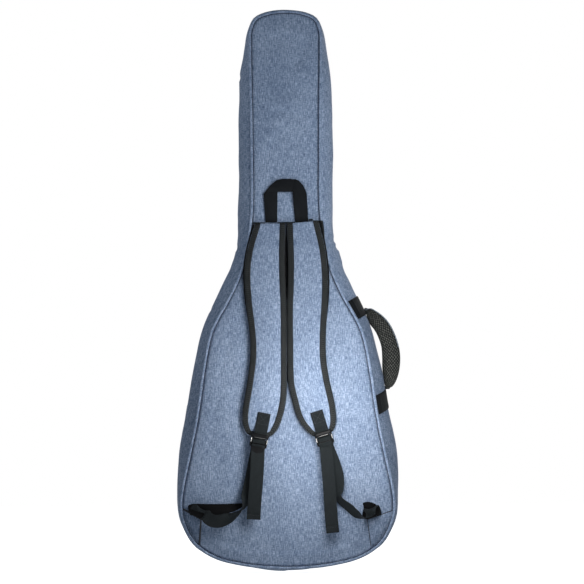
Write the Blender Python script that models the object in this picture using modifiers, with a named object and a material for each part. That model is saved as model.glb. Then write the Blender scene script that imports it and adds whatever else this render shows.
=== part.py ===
"""Padded gig bag for a full-size guitar.

The bag stands upright, +Z up, with its carrying side (the back) facing -Y and the zippered lid
facing +Y. The origin is under the top bar of the hang loop, so the bag hangs from the origin.
Every shape is drawn in bag coordinates, whose heights start at the bag's lowest point, and hangs
from one empty that carries the whole bag to its place. Sizes are in metres.
"""
import math
from collections import namedtuple

import bmesh
import bpy
from mathutils import Matrix, Vector
from mathutils.geometry import interpolate_bezier

# Overall form
HANG_HEIGHT = 0.738          # underside of the hang loop's top bar above the bag's lowest point
BACK_Y = -0.065              # outer face of the flat back panel
BODY_DEPTH = 0.130           # front to back over the guitar's body
NECK_DEPTH = 0.100           # front to back over the neck and head
TAPER = (0.43, 0.66)         # heights between which the depth changes
HALF_STATIONS = 24           # cross-sections along each half of the outline
CORNER_WEIGHT = 0.20         # metres of straight run that cost as many sections as one radian

# Half of the panels' seam line, from the bottom centre to the top centre:
# half width, height, and how far the gusset bulges past the seam there
SEAM = [
    (0.0000, 0.0097, 0.0097),
    (0.1160, 0.0230, 0.0062),
    (0.1730, 0.0510, 0.0060),
    (0.2010, 0.0960, 0.0065),
    (0.2066, 0.1410, 0.0080),
    (0.1900, 0.2280, 0.0210),
    (0.1746, 0.3036, 0.0230),
    (0.1597, 0.4045, 0.0200),
    (0.1445, 0.4705, 0.0190),
    (0.1067, 0.5420, 0.0240),
    (0.0873, 0.5870, 0.0220),
    (0.0737, 0.6450, 0.0195),
    (0.0666, 0.7100, 0.0240),
    (0.0664, 0.8100, 0.0250),
    (0.0673, 0.9170, 0.0225),
    (0.0687, 1.0137, 0.0110),
    (0.0670, 1.0525, 0.0058),
    (0.0524, 1.0767, 0.0050),
    (0.0000, 1.0874, 0.0050),
]

# Layers
GAP = 0.0003                 # clearance between neighbouring pieces
EASE = 0.0012                # slack of the gusset's cover over its padding
COVER = 0.0012               # outer fabric
FOAM = 0.0080                # padding
LINING = 0.0008              # inner fabric
PIPING_RADIUS = 0.0030
FOAM_JOIN_STATION = 8        # outline station at which the gusset's two padding strips meet
PANEL_INSET = 0.0035         # panels stop short of the seam line, inside the piping
RIM_SETBACK = 0.0055         # gusset cover starts behind the piping
STACK_SETBACK = 0.0125       # gusset padding starts behind the panel's own layers

# Main zipper, as v along the gusset's section: -1 at the back seam, 1 at the front seam
ZIP_V = 0.5
TAPE_WIDTH = 0.0088
TEETH_WIDTH = 0.0024
TEETH_HEIGHT = 0.0010        # teeth standing proud of the gusset
FOAM_SETBACK = 0.0015        # gusset padding and lining stop short of the zipper's middle
HINGE_STATIONS = (7, 9)      # outline stations between which the lid's fabric hinge lies, left side
HINGE_AXIS_X = -0.2140
LID_AXIS_Y = BACK_Y + BODY_DEPTH * (1 + ZIP_V) / 2

# Webbing and straps
WEBBING = 0.025
WEBBING_THICKNESS = 0.0012
STRAP_THICKNESS = 0.012
STRAP_Y = BACK_Y - 0.0024    # underside of the shoulder straps
STRAP_TOP = 0.6755
BINDING_WIDTH = 0.012
BINDING_THICKNESS = 0.0008
SEAM_STRIP = (0.6763, 0.6795)
LOOP_THICKNESS = 0.002

# Shoulder-strap edges, from the top seam down: the inner edge, then the outer edge
LEFT_INNER = [
    (-0.0012, STRAP_TOP),
    (-0.0012, 0.5200),
    (-0.0012, 0.3600),
    (-0.0022, 0.3347),
    (-0.0105, 0.2985),
    (-0.0217, 0.2726),
    (-0.0370, 0.2602),
]
LEFT_OUTER = [
    (-0.0610, STRAP_TOP),
    (-0.0762, 0.6257),
    (-0.0815, 0.5820),
    (-0.0792, 0.5287),
    (-0.0720, 0.4650),
    (-0.0708, 0.4200),
    (-0.0776, 0.3663),
    (-0.0872, 0.3080),
    (-0.0850, 0.2790),
    (-0.0764, 0.2656),
]
RIGHT_INNER = [
    (0.0020, STRAP_TOP),
    (0.0020, 0.5200),
    (0.0020, 0.3600),
    (0.0095, 0.3347),
    (0.0195, 0.2990),
    (0.0320, 0.2792),
    (0.0520, 0.2600),
]
RIGHT_OUTER = [
    (0.0645, STRAP_TOP),
    (0.0757, 0.6257),
    (0.0805, 0.5700),
    (0.0790, 0.5200),
    (0.0753, 0.4600),
    (0.0757, 0.4150),
    (0.0817, 0.3735),
    (0.0925, 0.3240),
    (0.0948, 0.2860),
    (0.0883, 0.2706),
]

# Ladder locks: centre across and up, and the lean of their upright direction from vertical
LOCK_PLACES = {"left": ((-0.0547, 0.2570), 11.4), "right": ((0.0714, 0.2610), -16.3)}
LOCK_SIZE = (0.034, 0.0026, 0.028)
LOCK_Y = -0.0835
LOCK_SLOT = (0.026, 0.007)
LOCK_SLOT_CENTRES = (0.0060, -0.0055)
TAIL_ENDS = {"left": (-0.0638, 0.1048), "right": (0.0869, 0.0782)}

# Lower webbing, from its corner patch up to the back of its ladder lock: across, y, height
LOWER_ROUTES = {
    "left": [
        (-0.1755, -0.0675, 0.1180),
        (-0.1600, -0.0740, 0.1060),
        (-0.1390, -0.0840, 0.1010),
        (-0.1120, -0.0830, 0.1110),
        (-0.0900, -0.0745, 0.1290),
        (-0.0800, -0.0710, 0.1580),
        (-0.0700, -0.0720, 0.2000),
        (-0.0605, -0.0785, 0.2370),
    ],
    "right": [
        (0.1800, -0.0675, 0.1290),
        (0.1610, -0.0750, 0.1260),
        (0.1400, -0.0820, 0.1120),
        (0.1180, -0.0800, 0.1210),
        (0.1030, -0.0745, 0.1440),
        (0.0970, -0.0710, 0.1760),
        (0.0870, -0.0725, 0.2120),
        (0.0780, -0.0785, 0.2410),
    ],
}
PATCHES = {"left": (-1, (0.1653, 0.1053), 0.1255), "right": (1, (0.1590, 0.1030), 0.1200)}
PATCH_FOOT = 0.0524          # height of the patches' lower corner

# Side handle, on the +X side: its anchors' heights, its centre line and its section
ANCHORS = {"upper": (0.4914, 0.5257), "lower": (0.3056, 0.3424)}
ANCHOR_REACH_V = -0.16       # anchors cross the gusset from the back seam to this v
ANCHOR_CLEARANCE = 0.0012    # anchors stand this far off the gusset
HANDLE_Y = -0.0040
HANDLE_LINE = [
    (0.1586, 0.5078),
    (0.1682, 0.4990),
    (0.1816, 0.4830),
    (0.1924, 0.4627),
    (0.2037, 0.4240),
    (0.2045, 0.3910),
    (0.2008, 0.3624),
]
GRIP_SECTION = (0.0165, 0.0095)
GRIP_BORE = (0.0100, 0.0022)
HANDLE_TAPER = 0.24          # share of the line over which the handle widens from each end
HANDLE_END = 0.42            # width at the ends, as a share of the full width
HANDLE_FEET = ((0.1540, 0.5090), (0.1975, 0.3560))

# Front pocket
POCKET_INSET = 0.016
POCKET_DEPTH = 0.018
POCKET_TOP = 0.428
POCKET_ZIP_HEIGHT = 0.398

# Colours: base colour, roughness, metallic
FABRIC = ((0.20, 0.27, 0.40), 0.85, 0.0)
DARK_WEBBING = ((0.022, 0.024, 0.026), 0.75, 0.0)
LINING_CLOTH = ((0.05, 0.05, 0.055), 0.80, 0.0)
PADDING = ((0.30, 0.30, 0.31), 0.90, 0.0)
MESH_CLOTH = ((0.03, 0.03, 0.033), 0.80, 0.0)
STEEL = ((0.60, 0.61, 0.62), 0.28, 1.0)
NYLON = ((0.015, 0.015, 0.017), 0.45, 0.0)

Station = namedtuple("Station", "x z nx nz bulge depth")


def clear_scene():
    for thing in list(bpy.data.objects):
        bpy.data.objects.remove(thing, do_unlink=True)


def new_collection(name):
    group = bpy.data.collections.new(name)
    bpy.context.scene.collection.children.link(group)
    return group


# ---------------------------------------------------------------- objects

def principled(name, finish):
    colour, roughness, metallic = finish
    material = bpy.data.materials.new(name)
    material.use_nodes = True
    shader = material.node_tree.nodes["Principled BSDF"]
    shader.inputs["Base Color"].default_value = (*colour, 1.0)
    shader.inputs["Roughness"].default_value = roughness
    shader.inputs["Metallic"].default_value = metallic
    return material


def new_object(name, data, finish, pivot):
    """A named piece in bag coordinates, carried by the pivot empty that it moves with."""
    piece = bpy.data.objects.new(name, data)
    data.materials.append(principled(name, finish))
    BAG.objects.link(piece)
    piece.parent = pivot
    if pivot is not BASE:
        piece.matrix_parent_inverse = Matrix.Translation(-pivot.location)
    return piece


def new_pivot(name, place, parent=None):
    pivot = bpy.data.objects.new(name, None)
    pivot.empty_display_size = 0.02
    BAG.objects.link(pivot)
    pivot.location = place
    if parent is not None:
        pivot.parent = parent
        if parent is not BASE:
            pivot.matrix_parent_inverse = Matrix.Translation(-parent.location)
    return pivot


def loft(name, sections, finish, pivot, cyclic=False):
    """One closed body through cross-sections that list their points in the same order."""
    bm = bmesh.new()
    rows = [[bm.verts.new(point) for point in section] for section in sections]
    followers = rows[1:] + (rows[:1] if cyclic else [])
    for row, after in zip(rows, followers):
        for i in range(len(row)):
            a, b, c, d = row[i - 1], row[i], after[i], after[i - 1]
            if b.co.y > a.co.y:
                bm.faces.new((a, b, c))
                bm.faces.new((a, c, d))
            else:
                bm.faces.new((a, b, d))
                bm.faces.new((b, c, d))
    if not cyclic:
        bm.faces.new(rows[0])
        bm.faces.new(rows[-1])
    bmesh.ops.recalc_face_normals(bm, faces=bm.faces)
    mesh = bpy.data.meshes.new(name)
    bm.to_mesh(mesh)
    bm.free()
    return new_object(name, mesh, finish, pivot)


def plate(name, outline, back, front, finish, pivot):
    """A flat sheet between two y values, from an outline of (across, height) points."""
    curve = bpy.data.curves.new(name, "CURVE")
    curve.dimensions = "2D"
    curve.fill_mode = "BOTH"
    curve.extrude = (front - back) / 2
    spline = curve.splines.new("POLY")
    spline.points.add(len(outline) - 1)
    for point, (across, height) in zip(spline.points, outline):
        point.co = (across, height, 0.0, 1.0)
    spline.use_cyclic_u = True
    piece = new_object(name, curve, finish, pivot)
    piece.rotation_euler = (math.radians(90), 0.0, 0.0)
    piece.location = (0.0, (back + front) / 2, 0.0)
    return piece


def tube(name, points, radius, finish, pivot):
    """A cord of round section in a closed loop."""
    curve = bpy.data.curves.new(name, "CURVE")
    curve.dimensions = "3D"
    curve.bevel_depth = radius
    curve.bevel_resolution = 1
    spline = curve.splines.new("POLY")
    spline.points.add(len(points) - 1)
    for point, place in zip(spline.points, points):
        point.co = (*place, 1.0)
    spline.use_cyclic_u = True
    return new_object(name, curve, finish, pivot)


def block(name, low, high, finish, pivot, bevel=0.0):
    bm = bmesh.new()
    bmesh.ops.create_cube(bm, size=1.0)
    low, high = Vector(low), Vector(high)
    for vert in bm.verts:
        vert.co = (low + high) / 2 + Vector(c * s for c, s in zip(vert.co, high - low))
    mesh = bpy.data.meshes.new(name)
    bm.to_mesh(mesh)
    bm.free()
    piece = new_object(name, mesh, finish, pivot)
    if bevel:
        rounding = piece.modifiers.new("rounded edges", "BEVEL")
        rounding.width = bevel
        rounding.segments = 2
    return piece


def cut(piece, cutter):
    CUTTERS.objects.link(cutter)
    cutter.hide_render = True
    cutter.display_type = "WIRE"
    trim = piece.modifiers.new("cut", "BOOLEAN")
    trim.operation = "DIFFERENCE"
    trim.object = cutter


def box_cutter(name, centre, size, matrix):
    bm = bmesh.new()
    bmesh.ops.create_cube(bm, size=1.0)
    for vert in bm.verts:
        vert.co = matrix @ (Vector(centre) + Vector(c * s for c, s in zip(vert.co, size)))
    mesh = bpy.data.meshes.new(name)
    bm.to_mesh(mesh)
    bm.free()
    cutter = bpy.data.objects.new(name, mesh)
    cutter.parent = BASE
    return cutter


# ---------------------------------------------------------------- outline

def smooth_line(points, steps):
    """Points along a smooth curve through the given points, which may have any dimension."""
    points = [Vector(point) for point in points]
    line = []
    for i in range(len(points) - 1):
        before = points[i - 1] if i else points[i] * 2 - points[i + 1]
        after = points[i + 2] if i + 2 < len(points) else points[i + 1] * 2 - points[i]
        reach = (points[i + 1] - points[i]).length
        lead = (points[i + 1] - before).normalized() * reach / 3
        trail = (after - points[i]).normalized() * reach / 3
        span = interpolate_bezier(
            points[i], points[i] + lead, points[i + 1] - trail, points[i + 1], steps + 1
        )
        line.extend(span[:-1])
    line.append(points[-1])
    return line


def depth_at(height):
    share = min(1.0, max(0.0, (height - TAPER[0]) / (TAPER[1] - TAPER[0])))
    return BODY_DEPTH + (NECK_DEPTH - BODY_DEPTH) * share * share * (3 - 2 * share)


def half_outline():
    """Stations up the +X half of the seam line, closer together where it turns."""
    ends = [(-SEAM[1][0], *SEAM[1][1:]), *SEAM, (-SEAM[-2][0], *SEAM[-2][1:])]
    fine = smooth_line(ends, 24)[24:-24]
    fine[0].x = fine[-1].x = 0.0
    costs = [0.0]
    for i in range(1, len(fine)):
        step = fine[i].xy - fine[i - 1].xy
        turn = 0.0
        if i + 1 < len(fine):
            turn = abs(step.angle_signed(fine[i + 1].xy - fine[i].xy))
        costs.append(costs[-1] + step.length + CORNER_WEIGHT * turn)
    stations = []
    for k in range(HALF_STATIONS + 1):
        goal = costs[-1] * k / HALF_STATIONS
        i = min(range(len(costs)), key=lambda j: abs(costs[j] - goal))
        low, high = fine[max(i - 1, 0)], fine[min(i + 1, len(fine) - 1)]
        along = (high.xy - low.xy).normalized()
        if k in (0, HALF_STATIONS):
            along = Vector((1.0, 0.0)) if k == 0 else Vector((-1.0, 0.0))
        x, z, bulge = fine[i]
        stations.append(Station(x, z, along.y, -along.x, bulge, depth_at(z)))
    return stations


def whole_outline():
    half = half_outline()
    left = [s._replace(x=-s.x, nx=-s.nx) for s in reversed(half[1:-1])]
    return half + left


def between(first, second, share):
    return Station(*(a + (b - a) * share for a, b in zip(first, second)))


def station_at(height, side=1):
    """The station at a height, between its neighbours, above the bag's widest part."""
    half = [s._replace(x=side * s.x, nx=side * s.nx) for s in half_outline()]
    for low, high in zip(half, half[1:]):
        if low.z <= height <= high.z:
            return between(low, high, (height - low.z) / (high.z - low.z))
    raise ValueError(height)


def trimmed(stations, margin):
    """The stations with both ends drawn in by the margin."""
    first, last = stations[:2], stations[-1:-3:-1]
    ends = []
    for outer, inner in (first, last):
        length = math.hypot(outer.x - inner.x, outer.z - inner.z)
        ends.append(between(outer, inner, margin / length))
    return [ends[0], *stations[1:-1], ends[1]]


def skin_point(station, v, depth):
    """The point at a depth under the gusset's outside, at v from the back seam to the front."""
    half = station.depth / 2
    lean = 2 * station.bulge * v
    scale = math.hypot(half, lean)
    out = station.bulge * (1 - v * v) - depth * half / scale
    y = BACK_Y + half * (1 + v) - depth * lean / scale
    return Vector((station.x + station.nx * out, y, station.z + station.nz * out))


def band(name, stations, edges, top, bottom, finish, pivot, cyclic=True):
    """A strip of the gusset. Each edge is a v and a distance in metres past it."""
    sections = []
    for station in stations:
        places = [v + 2 * distance / station.depth for v, distance in edges]
        outer = [skin_point(station, v, top) for v in places]
        inner = [skin_point(station, v, bottom) for v in reversed(places)]
        sections.append(outer + inner)
    return loft(name, sections, finish, pivot, cyclic)


def inset_outline(stations, inset):
    return [(s.x - s.nx * inset, s.z - s.nz * inset) for s in stations]


# ---------------------------------------------------------------- tub and lid

def back_panel():
    rim = inset_outline(whole_outline(), PANEL_INSET)
    layers = (("back_cover", COVER, FABRIC), ("back_foam", FOAM, PADDING),
              ("back_lining", LINING, LINING_CLOTH))
    y = BACK_Y
    for name, thickness, finish in layers:
        plate(name, rim, y, y + thickness, finish, BASE)
        y += thickness + GAP


def front_panel(lid):
    """The lid's panel slopes back over the neck, so its layers are ladders of flat strips."""
    half = half_outline()
    layers = (("front_cover", COVER, FABRIC), ("front_foam", FOAM, PADDING),
              ("front_lining", LINING, LINING_CLOTH))
    start = 0.0
    for name, thickness, finish in layers:
        sections = []
        for station in half:
            reach = max(station.x - station.nx * PANEL_INSET, 0.0012)
            height = station.z - station.nz * PANEL_INSET
            front = BACK_Y + station.depth - start
            back = front - thickness
            sections.append([(-reach, front, height), (reach, front, height),
                             (reach, back, height), (-reach, back, height)])
        loft(name, sections, finish, lid)
        start += thickness + GAP


def gussets(lid):
    ring = whole_outline()
    rim, stack = (-1, RIM_SETBACK), (-1, STACK_SETBACK)
    front_rim, front_stack = (1, -RIM_SETBACK), (1, -STACK_SETBACK)
    tape = TAPE_WIDTH + TEETH_WIDTH + 3 * GAP
    foam_top = COVER + EASE
    foam_bottom = foam_top + FOAM
    lining_top = foam_bottom + GAP
    lining_bottom = lining_top + LINING
    tub_edges = [rim, stack, (-0.3, 0), (0.1, 0), (ZIP_V, -tape)]
    band("tub_gusset_cover", ring, tub_edges, 0, COVER, FABRIC, BASE)
    inner_edges = [stack, (-0.3, 0), (ZIP_V, -FOAM_SETBACK)]
    foam_strips("tub", inner_edges, foam_top, foam_bottom, BASE)
    band("tub_gusset_lining", ring, inner_edges, lining_top, lining_bottom, LINING_CLOTH, BASE)
    lid_edges = [(ZIP_V, tape), front_stack, front_rim]
    band("lid_gusset_cover", ring, lid_edges, 0, COVER, FABRIC, lid)
    inner_edges = [(ZIP_V, FOAM_SETBACK), front_stack]
    foam_strips("lid", inner_edges, foam_top, foam_bottom, lid)
    band("lid_gusset_lining", ring, inner_edges, lining_top, lining_bottom, LINING_CLOTH, lid)


def foam_strips(name, edges, top, bottom, pivot):
    """The gusset's padding, cut as one strip round the lower bout and one over the rest."""
    ring = whole_outline()
    lower = ring[-FOAM_JOIN_STATION:] + ring[:FOAM_JOIN_STATION + 1]
    upper = ring[FOAM_JOIN_STATION:len(ring) - FOAM_JOIN_STATION + 1]
    for part, stations in (("lower", lower), ("upper", upper)):
        band(f"{name}_gusset_foam_{part}", trimmed(stations, GAP), edges, top, bottom, PADDING,
             pivot, False)


def hinge_and_zip_runs():
    """The outline split into the lid's fabric hinge and the run that the zipper takes."""
    ring = whole_outline()
    first = len(ring) - HINGE_STATIONS[1]
    last = len(ring) - HINGE_STATIONS[0]
    hinge = ring[first:last + 1]
    run = ring[last:] + ring[:first + 1]
    return trimmed(hinge, GAP), trimmed(run, GAP)


def zipper(lid):
    hinge, run = hinge_and_zip_runs()
    tape_top, tape_bottom = 0.0002, 0.0010
    teeth_bottom = COVER - 0.0001
    for name, side, pivot in (("tub", -1, BASE), ("lid", 1, lid)):
        inner = side * (TEETH_WIDTH + 2 * GAP)
        outer = side * (TEETH_WIDTH + 2 * GAP + TAPE_WIDTH)
        tape = sorted([(ZIP_V, inner), (ZIP_V, outer)])
        band(f"{name}_zip_tape", run, tape, tape_top, tape_bottom, DARK_WEBBING, pivot, False)
        teeth = sorted([(ZIP_V, side * GAP), (ZIP_V, side * (TEETH_WIDTH + GAP))])
        band(f"{name}_zip_chain", run, teeth, -TEETH_HEIGHT, teeth_bottom, NYLON, pivot, False)
    reach = TAPE_WIDTH + TEETH_WIDTH + 2 * GAP
    edges = [(ZIP_V, shift) for shift in (-reach, -FOAM_SETBACK, FOAM_SETBACK, reach)]
    band("hinge_gusset", hinge, edges, 0, COVER, FABRIC, BASE, False)


def piping(lid):
    ring = whole_outline()
    back = [(s.x, BACK_Y + 0.001, s.z) for s in ring]
    front = [(s.x, BACK_Y + s.depth - 0.001, s.z) for s in ring]
    tube("back_piping", back, PIPING_RADIUS, FABRIC, BASE)
    tube("front_piping", front, PIPING_RADIUS, FABRIC, lid)


def inner_pads():
    """The neck's support block, with a round channel for the neck, and the pad under the body."""
    floor = BACK_Y + COVER + FOAM + LINING + 3 * GAP
    cradle = block("neck_cradle", (-0.055, floor, 0.668), (0.055, floor + 0.028, 0.735), PADDING,
                   BASE)
    bm = bmesh.new()
    bmesh.ops.create_cone(bm, cap_ends=True, segments=20, radius1=0.036, radius2=0.036, depth=0.12)
    place = Matrix.Translation((0.0, floor + 0.046, 0.70))
    bmesh.ops.transform(bm, matrix=place, verts=bm.verts)
    mesh = bpy.data.meshes.new("neck_channel")
    bm.to_mesh(mesh)
    bm.free()
    channel = bpy.data.objects.new("neck_channel", mesh)
    channel.parent = BASE
    cut(cradle, channel)
    block("bottom_bumper", (-0.055, floor, 0.0250), (0.055, 0.018, 0.0460), PADDING, BASE, 0.003)


# ---------------------------------------------------------------- webbing

def ribbon(name, path, widths, finish, pivot, thickness=WEBBING_THICKNESS):
    """Flat webbing along a path, with the vector across it given at each point."""
    path = [Vector(point) for point in path]
    sections = []
    for i, place in enumerate(path):
        along = (path[min(i + 1, len(path) - 1)] - path[max(i - 1, 0)]).normalized()
        across = Vector(widths[i])
        face = along.cross(across).normalized() * thickness / 2
        half = across / 2
        sections.append([place - half - face, place + half - face,
                         place + half + face, place - half + face])
    return loft(name, sections, finish, pivot)


def lock_frame(side):
    """The matrix from a ladder lock's own axes (across, outward y, up) to bag coordinates."""
    (across, height), lean = LOCK_PLACES[side]
    return Matrix.Translation((across, LOCK_Y, height)) @ Matrix.Rotation(math.radians(lean), 4, "Y")


def ladder_lock(side, strap):
    frame = lock_frame(side)
    width, depth, height = LOCK_SIZE
    lock = block(f"ladder_lock_{side}", (-width / 2, -depth / 2, -height / 2),
                 (width / 2, depth / 2, height / 2), STEEL, strap)
    lock.data.transform(frame)
    for i, up in enumerate(LOCK_SLOT_CENTRES):
        slot = (LOCK_SLOT[0], depth * 3, LOCK_SLOT[1])
        cut(lock, box_cutter(f"lock_slot_{side}_{i}", (0, 0, up), slot, frame))


def half_turn(centre_y, centre_up, radius, start, stop, steps=4):
    """Points (y, up) round a bar, angles in degrees from the outward side."""
    turn = []
    for i in range(steps + 1):
        angle = math.radians(start + (stop - start) * i / steps)
        turn.append((centre_y - radius * math.cos(angle), centre_up + radius * math.sin(angle)))
    return turn


def lock_webbing(side, strap, tail):
    """The tab round the lock's top bar, the lower webbing over its middle bar, and the tail."""
    frame = lock_frame(side)
    across = frame.to_3x3() @ Vector((WEBBING, 0, 0))
    layer = LOCK_SIZE[1] / 2 + WEBBING_THICKNESS / 2 + GAP + 0.0002
    strap_face = STRAP_Y - STRAP_THICKNESS - LOCK_Y
    on_strap = strap_face - WEBBING_THICKNESS / 2 - GAP

    tab = [(on_strap, 0.0500), (on_strap, 0.0300), (-layer, 0.0170)]
    tab += half_turn(0, 0.0100, layer, 0, -180)[0:]
    tab.append((layer - 0.0003, 0.0140))
    places = [frame @ Vector((0, y, up)) for y, up in tab]
    ribbon(f"strap_tab_{side}", places, [across] * len(places), DARK_WEBBING, strap)

    route = smooth_line(LOWER_ROUTES[side], 3)
    lead = [(layer, -0.0130)] + half_turn(0, 0.0020, layer, 180, 0) + [(-layer, -0.0080)]
    places = route[:-1] + [frame @ Vector((0, y, up)) for y, up in lead]
    widths = []
    for i in range(len(route) - 1):
        along = places[i + 1] - places[max(i - 1, 0)]
        widths.append(Vector((-along.z, 0, along.x)).normalized() * WEBBING)
    sign = -1 if widths[-1].dot(across) < 0 else 1
    widths += [across * sign] * len(lead)
    ribbon(f"lower_webbing_{side}", places, widths, DARK_WEBBING, BASE)

    top = frame @ Vector((0, -layer, -0.0080 - GAP * 2))
    foot = Vector((TAIL_ENDS[side][0], top.y - 0.0015, TAIL_ENDS[side][1]))
    middle = top.lerp(foot, 0.45) + Vector((0, -0.0010, 0))
    places = smooth_line([top, middle, foot], 3)
    ribbon(f"tail_{side}", places, [across] * len(places), DARK_WEBBING, tail)


# ---------------------------------------------------------------- shoulder straps

def strap_edge(side):
    """The strap's edge from the top of its inner side, round its foot, to the top again."""
    inner, outer = (LEFT_INNER, LEFT_OUTER) if side == "left" else (RIGHT_INNER, RIGHT_OUTER)
    down = [p.xy for p in smooth_line([(*point, 0) for point in inner], 2)]
    up = [p.xy for p in smooth_line([(*point, 0) for point in reversed(outer)], 2)]
    return down + up


def inward(edge, side):
    """At each point of the edge, the direction into the strap."""
    turn = -1 if side == "left" else 1
    normals = []
    for i in range(len(edge)):
        ends = [edge[max(i - 1, 0)], edge[min(i + 1, len(edge) - 1)]]
        along = (ends[1] - ends[0]).normalized()
        normals.append(Vector((-along.y, along.x)) * turn)
    return normals


def shoulder_strap(side, strap):
    edge = strap_edge(side)
    normals = inward(edge, side)
    normals[0].y = normals[-1].y = 0.0
    face = STRAP_Y - STRAP_THICKNESS
    flange = BINDING_THICKNESS
    section = [(0, STRAP_Y), (BINDING_WIDTH, STRAP_Y), (BINDING_WIDTH, STRAP_Y - flange),
               (flange, STRAP_Y - flange), (flange, face + flange),
               (BINDING_WIDTH, face + flange), (BINDING_WIDTH, face), (0, face)]
    sections = []
    for point, normal in zip(edge, normals):
        places = [(point + normal * reach, y) for reach, y in section]
        sections.append([(place.x, y, place.y) for place, y in places])
    loft(f"strap_binding_{side}", sections, DARK_WEBBING, strap)

    filling = [point + normal * (flange + GAP) for point, normal in zip(edge, normals)]
    y = STRAP_Y - flange - GAP
    plate(f"strap_mesh_{side}", filling, y - 0.0010, y, MESH_CLOTH, strap)
    y -= 0.0010 + GAP
    cover_back = face + flange + GAP + 0.0010
    plate(f"strap_foam_{side}", filling, cover_back + GAP, y, PADDING, strap)
    plate(f"strap_cover_{side}", filling, cover_back - 0.0010, cover_back, FABRIC, strap)


# ---------------------------------------------------------------- small fabric pieces

def corner_patch(name, side, tip, top):
    """A reinforcing patch that fills the lower corner of the back panel inside the piping."""
    inset = PANEL_INSET + GAP
    rim = [s for s in half_outline() if PATCH_FOOT < s.z < top and s.x > tip[0]]
    outline = [tip, (0.1676, PATCH_FOOT)]
    outline += [(x, z) for x, z in inset_outline(rim, inset) if z > PATCH_FOOT and x > 0.1676]
    edge = station_at(top)
    outline.append((edge.x - edge.nx * inset, top))
    points = [(side * x, z) for x, z in outline]
    plate(name, points, BACK_Y - GAP - COVER, BACK_Y - GAP, FABRIC, BASE)


def hang_loop(pivot):
    """Flat webbing folded over at two mitred corners."""
    legs = SEAM_STRIP[1] + 2 * GAP
    outline = [(-0.0407, legs), (-0.0160, legs), (-0.0172, HANG_HEIGHT), (0.0180, HANG_HEIGHT),
               (0.0172, legs), (0.0425, legs), (0.0400, HANG_HEIGHT), (0.0194, 0.7615),
               (-0.0175, 0.7600), (-0.0440, 0.7330)]
    plate("hang_loop", outline, BACK_Y - GAP - LOOP_THICKNESS, BACK_Y - GAP, DARK_WEBBING, pivot)


def top_seam():
    low, high = SEAM_STRIP
    block("top_seam_webbing", (-0.064, BACK_Y - 0.0035, low), (0.0655, BACK_Y - GAP, high),
          DARK_WEBBING, BASE)


# ---------------------------------------------------------------- side handle

def handle_anchors():
    for name, (low, high) in ANCHORS.items():
        marks = [station_at(low + (high - low) * i / 4) for i in range(5)]
        edges = [(-1, RIM_SETBACK), (-1, STACK_SETBACK), (-0.3, 0), (ANCHOR_REACH_V, 0)]
        outside = ANCHOR_CLEARANCE + WEBBING_THICKNESS
        band(f"handle_anchor_{name}", marks, edges, -outside, -ANCHOR_CLEARANCE, DARK_WEBBING,
             BASE, False)


def handle_sections(centre_line, half_width, half_depth, count):
    """Rings of points round the handle's centre line, wide in its own plane, slimmer at its ends."""
    sections = []
    last = len(centre_line) - 1
    for i, place in enumerate(centre_line):
        along = (centre_line[min(i + 1, last)] - centre_line[max(i - 1, 0)]).normalized()
        out = Vector((-along.y, along.x))
        from_end = min(i, last - i) / last / HANDLE_TAPER
        share = HANDLE_END + (1 - HANDLE_END) * math.sin(math.pi / 2 * min(1.0, from_end))
        ring = []
        for k in range(count):
            angle = 2 * math.pi * (k + 0.5) / count
            spot = place + out * half_width * share * math.cos(angle)
            rise = half_depth * share * math.sin(angle)
            ring.append(Vector((spot.x, HANDLE_Y + rise, spot.y)))
        sections.append(ring)
    return sections


def handle(pivot):
    """A padded sleeve with the carrying webbing through it."""
    line = [p.xy for p in smooth_line([(*point, 0) for point in HANDLE_LINE], 2)]
    outer = handle_sections(line, *GRIP_SECTION, 10)
    inner = handle_sections(line, *GRIP_BORE, 10)
    bm = bmesh.new()
    skins = []
    for rings in (outer, inner):
        skins.append([[bm.verts.new(point) for point in ring] for ring in rings])
    for rows in skins:
        for row, after in zip(rows, rows[1:]):
            for i in range(len(row)):
                bm.faces.new((row[i - 1], row[i], after[i], after[i - 1]))
    for end in (0, -1):
        rim, hole = skins[0][end], skins[1][end]
        for i in range(len(rim)):
            bm.faces.new((rim[i - 1], rim[i], hole[i], hole[i - 1]))
    bmesh.ops.recalc_face_normals(bm, faces=bm.faces)
    mesh = bpy.data.meshes.new("handle_grip")
    bm.to_mesh(mesh)
    bm.free()
    new_object("handle_grip", mesh, MESH_CLOTH, pivot)

    feet = [Vector(foot) for foot in HANDLE_FEET]
    core = handle_sections(line, GRIP_BORE[0] * 0.6, GRIP_BORE[1] * 0.5, 4)
    for foot, end in ((feet[0], 0), (feet[1], -1)):
        shift = foot - line[end]
        stub = [point + Vector((shift.x, 0, shift.y)) for point in core[end]]
        core.insert(0 if end == 0 else len(core), stub)
    loft("handle_webbing", core, DARK_WEBBING, pivot)


# ---------------------------------------------------------------- zipper sliders

def slider_and_pull(name, place, along, out, carriage, pull):
    """A slider that rides over the teeth, with its pull tab hanging along the chain."""
    across = out.cross(along)
    axes = Matrix((across, out, along)).transposed().to_4x4()
    frame = Matrix.Translation(place) @ axes
    body = block(f"{name}_slider", (-0.0045, 0, -0.0070), (0.0045, 0.0022, 0.0070), STEEL,
                 carriage, 0.0008)
    body.data.transform(frame)
    lug_low, lug_high = 0.0025, 0.0037
    tab = block(f"{name}_pull", (-0.0030, lug_low, -0.0320), (0.0030, lug_high, 0.0005), STEEL,
                pull, 0.0004)
    tab.data.transform(frame)


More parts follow.
